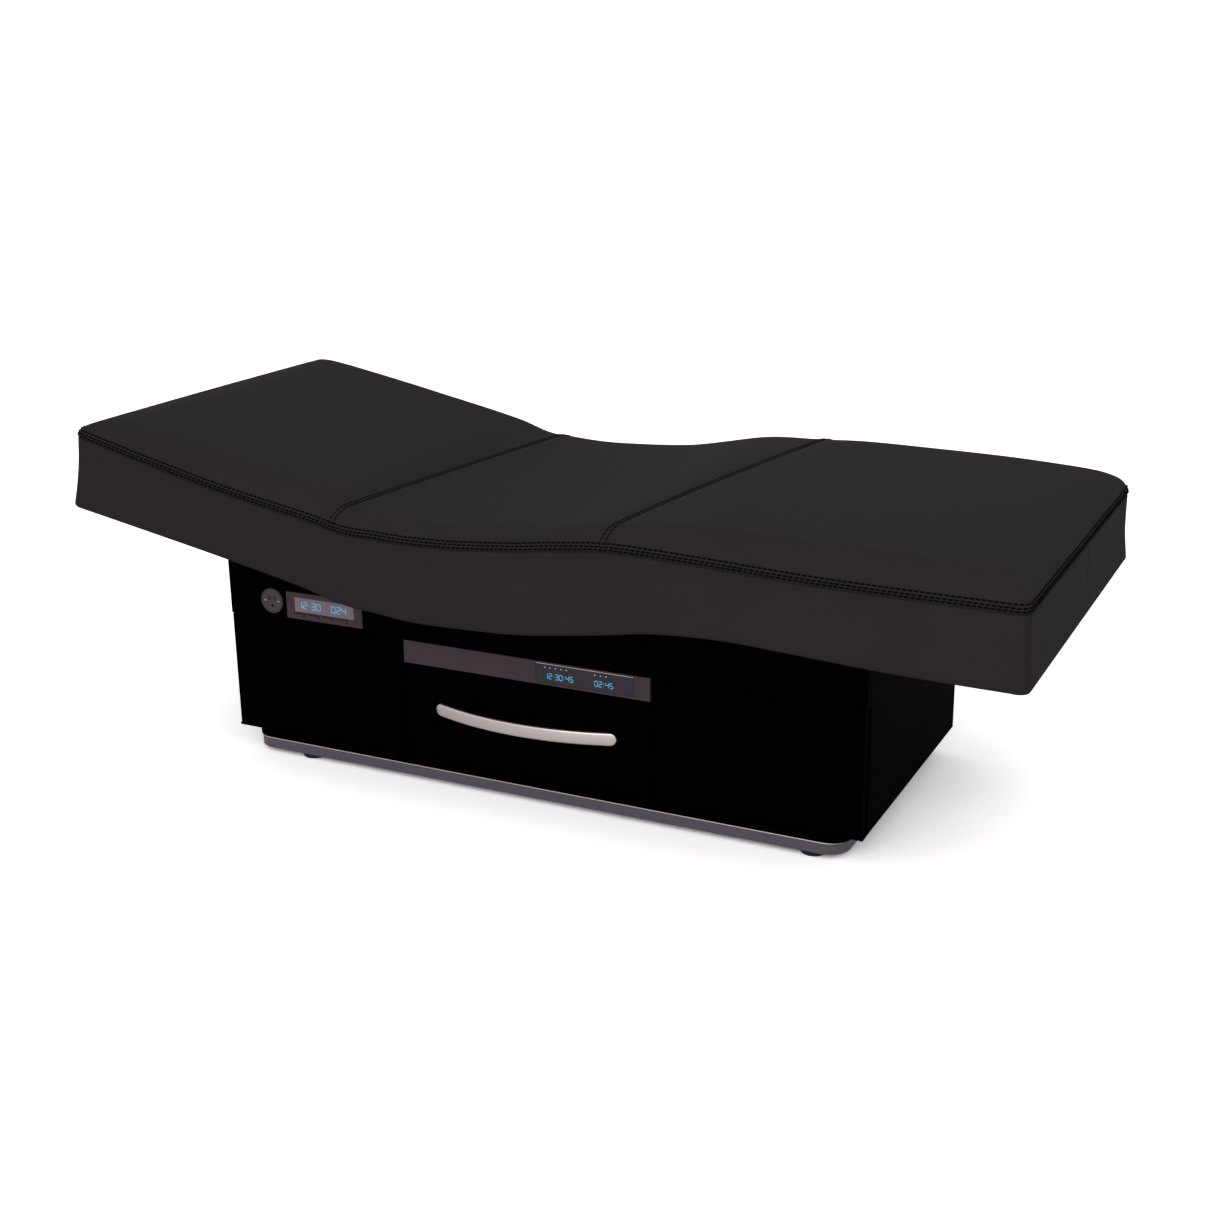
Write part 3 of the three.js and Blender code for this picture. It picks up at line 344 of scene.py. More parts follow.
# Lift frame and the frames under the top: welded square and round steel tube,
# powder coated black after welding.
FRAME_EDGE = 0.8 * MM
for name in ("lift_frame", "seat_frame", "back_frame", "leg_frame"):
    dress(name, frame_powder, FRAME_EDGE)


# Cabinet shell: boards lacquered black all over and screwed together from inside.
# End panels, back board, top board and the fascia above the doors.
LACQUER_EDGE = 1.1 * MM
LACQUER_PEEL = 9 * MM
LACQUER_HAZE = 120 * MM


def black_lacquer_coat():
    """Sprayed lacquer: deep black with next to no shine, and a slow orange peel."""
    finish, tree, place = new_finish("black_satin_lacquer")
    peel = mottle(tree, place, LACQUER_PEEL)
    haze = mottle(tree, place, LACQUER_HAZE, detail=5)
    return close_finish(finish, {
        "Base Color": tones(tree, haze, "#010101", "#020202"), "Roughness": between(tree, haze, 0.5, 0.58),
        "Specular IOR Level": 0.002, "Normal": relief(tree, peel, strength=0.05, distance=0.2 * MM),
    })


black_lacquer = black_lacquer_coat()
for name in ("side_panel_left", "side_panel_right", "back_panel", "top_panel", "upper_fascia"):
    dress(name, black_lacquer, LACQUER_EDGE)


# Birch plywood, oiled, its plies showing as stripes: the drawer's bay and tray, the backs of the two
# compartments, and the decks under the pad. The front edges of bay and tray, which stand behind the
# gaps round the doors and the drawer, carry painted shade: they are coloured black so that the gaps read
# dark.
PLY_THICKNESS = 1.4 * MM
PLY_EDGE = 0.8 * MM
GRAIN_WIDTH = 7 * MM
GRAIN_STRETCH = (0.06, 1, 1)
GAP_SHADE_DEPTH = 2 * MM


def birch_plywood(name, gap_shade_limit=None):
    """Rotary-cut birch: pale, with long soft figure and a slight sheen from the oil."""
    finish, tree, place = new_finish(name)
    stretched = put(tree, "Mapping", {"Vector": place, "Scale": GRAIN_STRETCH})
    figure = mottle(tree, stretched.outputs["Vector"], GRAIN_WIDTH, detail=6, distortion=0.6)
    plies = put(tree, "TexWave", {
        "Vector": place, "Scale": 1 / (20 * PLY_THICKNESS), "Distortion": 0.4,
    }, bands_direction="Z")
    marks = put(tree, "Math", {0: figure, 1: plies.outputs["Fac"]}, operation="MULTIPLY")
    colour = tones(tree, marks.outputs["Value"], "#c4a77c", "#a58559")
    # Painted shade: the plywood in front of the given depth turns black, so the gaps in front of it read
    # dark.
    if gap_shade_limit is not None:
        depth = put(tree, "SeparateXYZ", {"Vector": place}).outputs["Y"]
        painted_gap_shade = put(tree, "Math", {0: depth, 1: gap_shade_limit}, operation="LESS_THAN")
        colour = tones(tree, painted_gap_shade.outputs["Value"], colour, "#020202")
    return close_finish(finish, {
        "Base Color": colour, "Roughness": 0.55,
        "Normal": relief(tree, figure, strength=0.15, distance=0.2 * MM),
    })


birch = birch_plywood("oiled_birch_plywood")
# Painted shade: black on the first millimetres of bay and tray, behind the gaps round the doors and the
# drawer.
gap_shaded_birch = birch_plywood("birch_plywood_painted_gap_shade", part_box("bay_wall_left")[0][1] + GAP_SHADE_DEPTH)
for name in ("bay_wall_left", "bay_wall_right", "bay_top", "drawer_tray"):
    dress(name, gap_shaded_birch, PLY_EDGE)
for name in ("compartment_back_left", "compartment_back_right", "seat_deck", "back_deck", "leg_deck"):
    dress(name, birch, PLY_EDGE)


# Doors: lacquered leaves that turn on zinc plated steel rods near their outer edges.
# They have no handles: a push opens them.
DOOR_EDGE = 1.3 * MM
STEEL_EDGE = 0.3 * MM
zinc = ground_steel("zinc_plated_steel", "#9a9c9e", (1, 1, 1))
for side in ("left", "right"):
    dress("door_" + side, black_lacquer, DOOR_EDGE)
    dress("door_pivot_rod_" + side, zinc, STEEL_EDGE)


# Drawer: a lacquered front on a ply tray that runs on two steel slides.
# The bow handle is a flat bar of brushed nickel, bent to a long shallow arc between its two ends.
HANDLE_HALF = 187.5 * MM
HANDLE_BOW = 33 * MM
HANDLE_THICKNESS = 8.5 * MM
HANDLE_HEIGHT = 25 * MM
HANDLE_ROUND = 3.4 * MM
HANDLE_END_ROUND = 11 * MM
HANDLE_TIP_SHARE = 0.02
HANDLE_STEPS = 72

dress("drawer_front", black_lacquer, DOOR_EDGE)
for side in ("left", "right"):
    dress("drawer_rail_" + side, zinc, STEEL_EDGE)
    dress("drawer_slide_" + side, zinc, STEEL_EDGE)

nickel = ground_steel("brushed_satin_nickel", "#cdc3c0", (0.05, 1, 1))


def handle_rings():
    """Sections of the handle's bar along its arc, rounded at the corners and at both ends."""
    low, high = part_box("drawer_handle")
    middle = (low + high) / 2
    back = high.y
    arc_radius = (HANDLE_HALF ** 2 + HANDLE_BOW ** 2) / (2 * HANDLE_BOW)
    line_radius = arc_radius - HANDLE_THICKNESS / 2
    half_turn = math.asin(HANDLE_HALF / arc_radius)
    corner = rounded_outline((-HANDLE_THICKNESS / 2, -HANDLE_HEIGHT / 2),
                             (HANDLE_THICKNESS / 2, HANDLE_HEIGHT / 2), HANDLE_ROUND, 5)[::-1]
    rings = []
    for step in range(HANDLE_STEPS + 1):
        share = -math.cos(math.pi * step / HANDLE_STEPS)
        turn = half_turn * share
        from_end = (1 - abs(share)) * half_turn * line_radius
        into_end = max(1 - from_end / HANDLE_END_ROUND, 0)
        height = math.sqrt(max(1 - into_end ** 2, HANDLE_TIP_SHARE))
        ring = []
        for across, up in corner:
            reach = line_radius + across
            x = middle.x + reach * math.sin(turn)
            y = back + (arc_radius - HANDLE_BOW) - reach * math.cos(turn)
            ring.append((x, min(y, back), middle.z + up * height))
        rings.append(ring)
    return rings


handle = mesh_piece("bow_handle", *loft(handle_rings()), nickel, "drawer", "satin_nickel")
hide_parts("drawer_handle")


# Control strip over the drawer: a moulded cover the width of the drawer. A display module is
# set in near its right end, with two groups of numbers under small marker lamps.
STRIP_EDGE = 0.8 * MM
DIGIT_STROKE = 1.3 * MM
DIGIT_LIFT = 0.25 * MM
DOT_LENGTH = 0.2 * MM
DIGIT_GAP_SHARE = 0.38
COLON_SHARE = 0.45
COLON_RISES = (0.3, 0.7)
STRIP_DIGIT_HEIGHT = 10 * MM
STRIP_DIGIT_WIDTH = 6 * MM
STRIP_LOWER_MARGIN = 8.5 * MM
STRIP_GROUPS = (("12:30:45", 0.09), ("02:45", 0.61))
MARKER_RADIUS = 0.9 * MM
MARKER_PITCH = 11 * MM
MARKER_DROP = 5.5 * MM
TRIM_HEIGHT = 1 * MM
TRIM_RISE = 1.2 * MM
DISPLAY_EDGE = 0.4 * MM


def moulded_plastic(name, colour, roughness):
    """Injection-moulded ABS: a soft even sheen over a fine spark-eroded texture."""
    finish, tree, place = new_finish(name)
    texture = mottle(tree, place, 1.8 * MM, detail=3)
    wear = mottle(tree, place, 70 * MM, detail=4)
    return close_finish(finish, {
        "Base Color": linear(colour), "Roughness": between(tree, wear, roughness - 0.06, roughness + 0.06),
        "Specular IOR Level": 0.2, "Normal": relief(tree, texture, strength=0.08, distance=0.1 * MM),
    })


def lit_segments():
    """Backlit display segments behind a clear window: they glow a little, in two near blues."""
    finish, tree, place = new_finish("blue_lit_segments")
    glow = mottle(tree, place, 8 * MM)
    return close_finish(finish, {
        "Base Color": linear("#102030"), "Roughness": 0.3,
        "Emission Color": tones(tree, glow, "#3f9be6", "#5ad0e6"), "Emission Strength": 0.9,
    })


# Ends of each segment, in widths and half heights of a digit, and the segments of each digit
SEGMENTS = {
    "a": (0, 2, 1, 2), "b": (1, 1, 1, 2), "c": (1, 0, 1, 1), "d": (0, 0, 1, 0),
    "e": (0, 0, 0, 1), "f": (0, 1, 0, 2), "g": (0, 1, 1, 1),
}
LIT = {"0": "adfbec", "1": "bc", "2": "agdbe", "3": "agdbc", "4": "gfbc", "5": "agdfc"}


def joined(parts):
    """The points and faces of many skins as one."""
    points, faces = [], []
    for part_points, part_faces in parts:
        faces += [tuple(len(points) + index for index in face) for face in part_faces]
        points += list(part_points)
    return points, faces


def bars(strokes, width, face_y):
    """Raised bars on a face that looks along -Y, each from one point to another, in x and z."""
    made = []
    for x0, z0, x1, z1 in strokes:
        a, b = np.array([x0, z0]), np.array([x1, z1])
        along = (b - a) / np.linalg.norm(b - a)
        across = np.array([-along[1], along[0]]) * width / 2
        tip = along * width / 2
        outline = [a - tip, a - across, b - across, b + tip, b + across, a + across]
        depths = (face_y + DIGIT_LIFT / 2, face_y - DIGIT_LIFT)
        made.append(loft([[(x, y, z) for x, z in outline] for y in depths]))
    return joined(made)


def number(text, x, z, width, height):
    """Strokes of a row of seven-segment numbers from its lower left corner, and where it ends."""
    inset = DIGIT_STROKE * 0.75
    strokes = []
    for mark in text:
        if mark == ":":
            for rise in COLON_RISES:
                dot_x, dot_z = x + width * COLON_SHARE / 2, z + height * rise
                strokes.append((dot_x, dot_z, dot_x + DOT_LENGTH, dot_z))
            x += width * (COLON_SHARE + DIGIT_GAP_SHARE)
            continue
        for segment in LIT[mark]:
            x0, z0, x1, z1 = SEGMENTS[segment]
            short_x, short_z = (inset, 0) if z0 == z1 else (0, inset)
            strokes.append((
                x + x0 * width + short_x, z + z0 * height / 2 + short_z,
                x + x1 * width - short_x, z + z1 * height / 2 - short_z,
            ))
        x += width * (1 + DIGIT_GAP_SHARE)
    return strokes, x


taupe = moulded_plastic("taupe_moulded_abs", "#3b3037", 0.5)
module_plastic = moulded_plastic("grey_violet_display_window", "#322b35", 0.32)
blue_segments = lit_segments()
dress("control_strip", taupe, STRIP_EDGE)
dress("strip_display", module_plastic, DISPLAY_EDGE)

strip_low, strip_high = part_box("strip_display")
digit_low = strip_low.z + STRIP_LOWER_MARGIN
strip_strokes, marker_places = [], []
for text, share in STRIP_GROUPS:
    start = strip_low.x + share * (strip_high.x - strip_low.x)
    strokes, end = number(text, start, digit_low, STRIP_DIGIT_WIDTH, STRIP_DIGIT_HEIGHT)
    strip_strokes += strokes
    marker_places += list(np.arange(start, end - MARKER_PITCH / 2, MARKER_PITCH))

marker_z = strip_high.z - MARKER_DROP
marker_strokes = [(x, marker_z, x + MARKER_RADIUS, marker_z) for x in marker_places]
white_lamp = moulded_plastic("white_marker_lens", "#e6e2e0", 0.35)
trim_z = strip_high.z + TRIM_RISE
trim_stroke = (strip_low.x, trim_z, strip_high.x, trim_z)
for name, strokes, width, finish, slot in (
    ("strip_numbers", strip_strokes, DIGIT_STROKE, blue_segments, "display_plastic"),
    ("strip_markers", marker_strokes, 2 * MARKER_RADIUS, white_lamp, "display_plastic"),
    ("strip_trim", [trim_stroke], TRIM_HEIGHT, bare_steel, "taupe_plastic"),
):
    mesh_piece(name, *bars(strokes, width, strip_low.y), finish, "cabinet", slot, smooth=False)


# Control panel on the fascia: a moulded plate with a window over a display,
# and four push buttons in a row under it.
PANEL_EDGE = 1 * MM
BUTTON_EDGE = 1.2 * MM
PANEL_DIGIT_HEIGHT = 12.5 * MM
PANEL_DIGIT_WIDTH = 8.6 * MM
PANEL_STROKE = 1.56 * MM
PANEL_GROUPS = (("12:30", 0.06), ("024", 0.63))

window = moulded_plastic("light_violet_display_window", "#7d6e75", 0.3)
dress("control_panel", taupe, PANEL_EDGE)
dress("panel_display", window, DISPLAY_EDGE)
window_low, window_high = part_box("panel_display")
digit_low = (window_low.z + window_high.z - PANEL_DIGIT_HEIGHT) / 2
panel_strokes = []
for text, share in PANEL_GROUPS:
    start = window_low.x + share * (window_high.x - window_low.x)
    panel_strokes += number(text, start, digit_low, PANEL_DIGIT_WIDTH, PANEL_DIGIT_HEIGHT)[0]
mesh_piece("panel_numbers", *bars(panel_strokes, PANEL_STROKE, window_low.y), blue_segments,
           "cabinet", "display_plastic", smooth=False)
for place in range(1, 5):
    dress(f"panel_button_{place}", taupe, BUTTON_EDGE)


# Power socket beside the panel: a round moulded face with two slots and a round earth hole,
# held by two small screws, with a raised rim that keeps splashes out.
SOCKET_EDGE = 0.5 * MM
RIM_RADIUS = 23.2 * MM
RIM_TUBE = 1.3 * MM
SCREW_RADIUS = 2.1 * MM
SCREW_REACH = 15.5 * MM
# Sections of a screw's head from under the face up, each: share of the radius, and height
SCREW_HEAD = ((1, -0.2 * MM), (1, 0.35 * MM), (0.8, 0.63 * MM), (0.35, 0.7 * MM))

socket_grey = moulded_plastic("grey_moulded_socket", "#433c42", 0.5)
dress("power_outlet", socket_grey, SOCKET_EDGE)
socket_low, socket_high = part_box("power_outlet")
socket_middle = (socket_low + socket_high) / 2
rim_rings = []
for x, z in circle(1, sides=64):
    rim_rings.append([
        (socket_middle.x + x * (RIM_RADIUS + across), socket_low.y + up,
         socket_middle.z + z * (RIM_RADIUS + across))
        for across, up in circle(RIM_TUBE, sides=10)
    ])
mesh_piece("socket_rim", *loft(rim_rings, closed=True), socket_grey, "cabinet", "grey_plastic")
for name, side in (("left", -1), ("right", 1)):
    rings = [[
        (socket_middle.x + side * SCREW_REACH + x, socket_low.y - lift, socket_middle.z + z)
        for x, z in circle(SCREW_RADIUS * share, sides=20)
    ] for share, lift in SCREW_HEAD]
    mesh_piece(f"socket_screw_{name}", *loft(rings), zinc, "cabinet", "grey_plastic")


# Behind the cabinet: the mains inlet in the back board, and the control box inside it.
# The dual drive hangs under the top board, and its two rods push the levers of the frames.
HOUSING_EDGE = 0.8 * MM
PUSHER_EDGE = 0.6 * MM
dark_plastic = moulded_plastic("black_moulded_nylon", "#1d1d1f", 0.55)
for name in ("mains_inlet", "control_box", "drive_housing"):
    dress(name, dark_plastic, HOUSING_EDGE)
for name in ("back_pusher", "leg_pusher"):
    dress(name, zinc, PUSHER_EDGE)


# Padded top: a long pad of firm foam on the three decks, in a fitted cover of black vinyl, cut in two
# across the seat. The cover is sewn from top panels and a band. Two seams cross it at a slant near the
# hinges, one closes the band at the foot end, the head end stands proud and the foot end leans out.
BACK_LENGTH = 613 * MM
SEAT_LENGTH = 560 * MM
LEG_LENGTH = 685.5 * MM
TOP_WIDTH = 813 * MM
CORNER = 20 * MM
BAND = 150 * MM
WALL = 25 * MM
SHOULDER = 54 * MM
DRAW_IN = 2.5 * MM
ARCH = 4 * MM
SEAM_DEPTH = 4 * MM
SEAM_HALF = 2.4 * MM
CROSS_SEAM_SHARP = (2.6 * MM, 1.6 * MM)
CROSS_SEAM_SOFT = (0.8 * MM, 9 * MM)
CROSS_SEAM_AT_EDGE = 0.4
COURSE_STEPS = 24
BEND_REACH = 75 * MM
REST_ANGLE = math.radians(11)
CEILING = 25.4 * MM
SLANT_REACH = 260 * MM
SLANT_ROUNDS = 16
HINGE_RELIEF = 20 * MM
HINGE_RELIEF_REACH = 130 * MM
HINGE_RELIEF_CORE = 52 * MM
HINGE_PLACES = (0, SEAT_LENGTH)
SPLIT = SEAT_LENGTH / 2
HEM_OUTER = 6 * MM
HEM_INNER = 5 * MM
INNER_CORNER = 8 * MM
HEAD_PROUD = 9 * MM
FOOT_DRAWN_IN = 9 * MM
FOOT_FLARE = 6 * MM
# Course of the top's lines from head to foot, each row: share of the length,
# then the skirt's edge, the seam and the crown's rise as shares of the band
TOP_LINE_SHARES = (
    (0, -0.247, 0.71, 0.2), (0.098, -0.227, 0.655, 0.28), (0.2, -0.213, 0.625, 0.305),
    (0.297, -0.22, 0.645, 0.255), (0.362, -0.29, 0.625, 0.195), (0.41, -0.35, 0.605, 0.17),
    (0.464, -0.347, 0.625, 0.17), (0.523, -0.317, 0.69, 0.16), (0.569, -0.25, 0.76, 0.18),
    (0.619, -0.157, 0.82, 0.235), (0.667, -0.063, 0.815, 0.28), (0.733, -0.025, 0.785, 0.325),
    (0.803, -0.063, 0.745, 0.355), (0.89, -0.117, 0.725, 0.35), (1, -0.143, 0.715, 0.28),
)
# Cross seams of the cover, each: place of the hinge under it, of its near end and of its far end
CROSS_SEAMS = ((0, -30 * MM, 60 * MM), (SEAT_LENGTH, 527 * MM, 655 * MM))
HEAD = -BACK_LENGTH - HEAD_PROUD
FOOT = SEAT_LENGTH + LEG_LENGTH - FOOT_DRAWN_IN
HALF = TOP_WIDTH / 2
hinges = {joint["name"]: Vector(joint["pos_m"]) for joint in frame["joints"] if "pos_m" in joint}


def smooth_step(value, low, high):
    """A share from 0 at low to 1 at high, level at both."""
    share = np.clip((value - low) / (high - low), 0, 1)
    return share * share * (3 - 2 * share)


def line_course(column):
    """A smooth curve through one column of the table of lines, as places and heights."""
    knots = np.array([(row[0] * (FOOT - HEAD) + HEAD, row[column] * BAND) for row in TOP_LINE_SHARES])
    ends = np.concatenate([knots[:1], knots, knots[-1:]])
    course = []
    for p0, p1, p2, p3 in zip(ends, ends[1:], ends[2:], ends[3:]):
        v0, v1 = (p2 - p0) / 2, (p3 - p1) / 2
        cubic, square = 2 * p1 - 2 * p2 + v0 + v1, 3 * p2 - 3 * p1 - 2 * v0 - v1
        for t in np.arange(0, 1, 1 / COURSE_STEPS):
            course.append(cubic * t ** 3 + square * t ** 2 + v0 * t + p1)
    course.append(knots[-1])
    return np.array(course).T


courses = {name: line_course(column) for column, name in ((1, "skirt"), (2, "seam"), (3, "rise"))}


def line_at(name, x):
    """Height of one of the lines at a place along the top."""
    return np.interp(x, *courses[name])


def slant(u, y):
    """How far a line across the top moves along it, so that the lines over the hinges meet the seams."""
    moved = 0
    for hinge, near, far in CROSS_SEAMS:
        seam = near + (far - near) * (y / TOP_WIDTH + 0.5)
        moved = moved + (seam - hinge) * (1 - smooth_step(abs(u - hinge), 0, SLANT_REACH))
    return moved


def upright(x, y):
    """Place along the top that the slant moved to x."""
    u = x
    for step in range(SLANT_ROUNDS):
        u = x - slant(u, y)
    return u


def plan(u, v, inset=0, corner=CORNER):
    """Where a point of the flat rectangle lies once its corners are rounded, drawn in by an inset."""
    cu = np.clip(u, HEAD + CORNER, FOOT - CORNER)
    cv = np.clip(v, CORNER - HALF, HALF - CORNER)
    a, b = (u - cu) / CORNER, (v - cv) / CORNER
    reach = np.maximum(abs(a), abs(b))
    turn = np.minimum(abs(a), abs(b)) / np.maximum(reach, 1e-9) * math.pi / 4
    along_u = np.where(abs(a) >= abs(b), np.cos(turn), np.sin(turn))
    along_v = np.where(abs(a) >= abs(b), np.sin(turn), np.cos(turn))
    middle, shrunk = (HEAD + FOOT) / 2, inset + corner - CORNER
    cu = middle + (cu - middle) * (1 - 2 * shrunk / (FOOT - HEAD - 2 * CORNER))
    cv = cv * (1 - 2 * shrunk / (TOP_WIDTH - 2 * CORNER))
    y = cv + np.sign(b) * corner * reach * along_v
    return cu + np.sign(a) * corner * reach * along_u + slant(u, y), y


def edge_distance(x, y):
    """Distance in from the rounded outline, with every inner level rounded alike."""
    dx = np.minimum(x - HEAD, FOOT - x)
    dy = HALF - abs(y)
    half_sum, half_gap = (dx + dy) / 2, (dx - dy) / 2
    rounded = half_sum - CORNER + np.sqrt(np.maximum(CORNER ** 2 / 2 - half_gap ** 2, 0))
    return np.maximum(np.where(abs(dx - dy) < CORNER, rounded, np.minimum(dx, dy)), 0)


def top_height(x, y):
    """Height of the cover above the hinge line, before the bend at the back."""
    share = np.clip(edge_distance(x, y) / SHOULDER, 0, 1)
    shoulder = np.sqrt(1 - (1 - share) ** 2)
    height = line_at("seam", x) + SEAM_HALF + line_at("rise", x) * shoulder
    height = height + ARCH * (1 - (y / HALF) ** 2) * shoulder
    level = CROSS_SEAM_AT_EDGE + (1 - CROSS_SEAM_AT_EDGE) * shoulder
    u = upright(x, y)
    for seam in HINGE_PLACES:
        for depth, reach in (CROSS_SEAM_SHARP, CROSS_SEAM_SOFT):
            height = height - depth * np.exp(-((u - seam) / reach) ** 2) * level
    return height


def bend(points):
    """Turns the flat top about the back hinge to its rest angle, and sets it in its place."""
    x, y, z = np.asarray(points, float).T
    angle = REST_ANGLE * smooth_step(-x, -BEND_REACH, BEND_REACH)
    hinge = hinges["back_tilt"]
    return np.stack([
        hinge.x + x * np.cos(angle) + z * np.sin(angle), y,
        hinge.z + z * np.cos(angle) - x * np.sin(angle),
    ], 1)


# Where the net's lines lie beside the outline, the seam of the foot end and the cross seams
EDGE_STEPS = np.array([0, 0.3, 0.8, 1.5, 2.4, 3.5, 4.8, 6.4, 8.4, 11, 14, 17, 20, 25, 32, 40, 50]) * MM
END_SEAM_Y = 35 * MM
END_SEAM_STEPS = np.array([-3, -1.7, -0.8, 0, 0.8, 1.7, 3]) * MM
SEAM_STEPS = np.array([-14, -9.5, -6.5, -4.5, -3, -1.8, -0.8, 0, 0.8, 1.8, 3, 4.5, 6.5, 9.5, 14]) * MM
CELL = 11 * MM


def stations(low, high, seams=(), splits=()):
    """Places along one side of the top: close together at the ends and the seams."""
    stops = [low + EDGE_STEPS[-1]]
    for place in sorted([*seams, *splits]):
        steps = SEAM_STEPS if place in seams else np.zeros(1)
        stops.append(place + steps)
    stops.append(high - EDGE_STEPS[-1])
    made = [low + EDGE_STEPS]
    for before, after in zip(stops, stops[1:]):
        start, end = np.max(before), np.min(after)
        made.append(np.linspace(start, end, max(round((end - start) / CELL), 1) + 1))
        made.append(np.atleast_1d(after))
    made.append(high - EDGE_STEPS)
    return np.unique(np.round(np.concatenate(made), 7))


along = stations(HEAD, FOOT, seams=HINGE_PLACES, splits=(SPLIT,))
across = np.union1d(stations(-HALF, HALF), END_SEAM_Y + END_SEAM_STEPS)


# Swell of the cover: how far the foam lifts it between its seams, from a cloth that is held at
# the seams and blown up a little. The finished cover starts lower by about as much.
SWELL_CELL = 18 * MM
SWELL_CAP = 5 * MM
SWELL_START = 3 * MM
SWELL_SMOOTHINGS = 12
SWELL_FRAMES = 20
SWELL_EDGE_REACH = 40 * MM
SWELL_SEAM_REACH = 25 * MM


def net_faces(rows, columns):
    """Faces of a net of points that are numbered row after row."""
    place = np.arange(rows * columns).reshape(rows, columns)
    return np.stack([place[:-1, :-1], place[1:, :-1], place[1:, 1:], place[:-1, 1:]], -1).reshape(-1, 4)


def swell_field():
    """The cloth's rise over a coarse net on the top, as places along, places across and heights."""
    us = np.linspace(HEAD, FOOT, round((FOOT - HEAD) / SWELL_CELL) + 1)
    for seam in HINGE_PLACES:
        us[np.argmin(abs(us - seam))] = seam
    vs = np.linspace(-HALF, HALF, round(TOP_WIDTH / SWELL_CELL) + 1)
    u, v = np.meshgrid(us, vs, indexing="ij")
    x, y = plan(u, v)
    rest = np.stack([x, y, top_height(x, y)], -1).reshape(-1, 3)
    cloth = new_object("cover_cloth", rest, net_faces(*u.shape).tolist())
    sewn = np.isin(u, (HEAD, *HINGE_PLACES, FOOT)) | np.isin(v, (-HALF, HALF))
    held = cloth.vertex_groups.new(name="held")
    held.add(np.flatnonzero(sewn.ravel()).tolist(), 1.0, "ADD")
    settings = cloth.modifiers.new("cloth", "CLOTH").settings
    settings.use_pressure = True
    settings.uniform_pressure_force = 4
    settings.vertex_group_mass = "held"
    settings.quality = 6
    settings.shrink_min = -0.012
    settings.tension_stiffness = settings.compression_stiffness = 20
    settings.shear_stiffness = 12
    settings.bending_stiffness = 0.8
    settings.effector_weights.gravity = 0
    for step in range(1, SWELL_FRAMES + 1):
        bpy.context.scene.frame_set(step)
    posed = cloth.evaluated_get(bpy.context.evaluated_depsgraph_get()).to_mesh()
    moved = np.zeros(len(posed.vertices) * 3)
    posed.vertices.foreach_get("co", moved)
    rise = (moved.reshape(-1, 3) - rest)[:, 2].reshape(u.shape)
    for step in range(SWELL_SMOOTHINGS):
        around = rise[:-2, 1:-1] + rise[2:, 1:-1] + rise[1:-1, :-2] + rise[1:-1, 2:]
        rise[1:-1, 1:-1] = rise[1:-1, 1:-1] / 2 + around / 8
    bpy.data.objects.remove(cloth)
    bpy.context.scene.frame_set(1)
    return us, vs, SWELL_CAP * np.tanh(rise / SWELL_CAP)


swell_u, swell_v, swell_rise = swell_field()


def swelling(u, y):
    """The swell at any place, between the net's points."""
    i = np.clip(np.searchsorted(swell_u, u) - 1, 0, len(swell_u) - 2)
    j = np.clip(np.searchsorted(swell_v, y) - 1, 0, len(swell_v) - 2)
    s = smooth_step(u, swell_u[i], swell_u[i + 1])
    t = smooth_step(y, swell_v[j], swell_v[j + 1])
    low = swell_rise[i, j] * (1 - s) + swell_rise[i + 1, j] * s
    high = swell_rise[i, j + 1] * (1 - s) + swell_rise[i + 1, j + 1] * s
    return (low * (1 - t) + high * t) - SWELL_START


PUCKER_LENGTH = 17 * MM
PUCKER_DEPTH = 0.45 * MM
PUCKER_REACH = 20 * MM
PUCKER_EDGE_REACH = 6 * MM


def ripples(x, y, z, length):
    """Smooth noise with ripples of a given length, at each place."""
    flat = [noise.noise(Vector((a / length, b / length, z))) for a, b in zip(np.ravel(x), np.ravel(y))]
    return np.reshape(flat, np.shape(x))


def cover_height(x, y):
    """The finished cover: crown, swell, and puckers beside the seams."""
    inward = edge_distance(x, y)
    u = upright(x, y)
    fade = smooth_step(inward, 0, SWELL_EDGE_REACH)
    near = np.exp(-inward / PUCKER_REACH)
    for seam in HINGE_PLACES:
        fade = fade * smooth_step(abs(u - seam), 0, SWELL_SEAM_REACH)
        near = np.maximum(near, np.exp(-abs(u - seam) / PUCKER_REACH))
    near = near * smooth_step(inward, 0, PUCKER_EDGE_REACH)
    return top_height(x, y) + swelling(u, y) * fade + ripples(x, y, 0, PUCKER_LENGTH) * PUCKER_DEPTH * near


def outline_normals(x, y):
    """Outward directions on the rounded outline, seen from above."""
    nx = x - np.clip(x, HEAD + CORNER, FOOT - CORNER)
    ny = y - np.clip(y, CORNER - HALF, HALF - CORNER)
    length = np.hypot(nx, ny)
    return nx / length, ny / length


# Groove of the seam on the band's side, each: shares of its depth and of half its width.
# Below it, the shares of the band's height where its rings lie
SEAM_GROOVE = ((0.6, 0.55), (1, 0.1), (1, -0.2), (0.6, -0.6))
BAND_SHARES = (0, 0.03, 0.07, 0.13, 0.21, 0.3, 0.4, 0.5, 0.6, 0.7, 0.79, 0.87, 0.94, 1)
SLACK_LENGTH = 90 * MM
SLACK_DEPTH = 0.9 * MM
END_SEAM_DEPTH = 1.6 * MM
END_SEAM_FADE = 5 * MM


def ceiling_height(x):
    """Underside of the foam on the decks, raised over each hinge so that the decks can tilt."""
    height = np.full(np.shape(x), CEILING)
    for hinge in HINGE_PLACES:
        away = smooth_step(abs(x - hinge), HINGE_RELIEF_CORE, HINGE_RELIEF_REACH)
        height = height + HINGE_RELIEF * (1 - away)
    return height


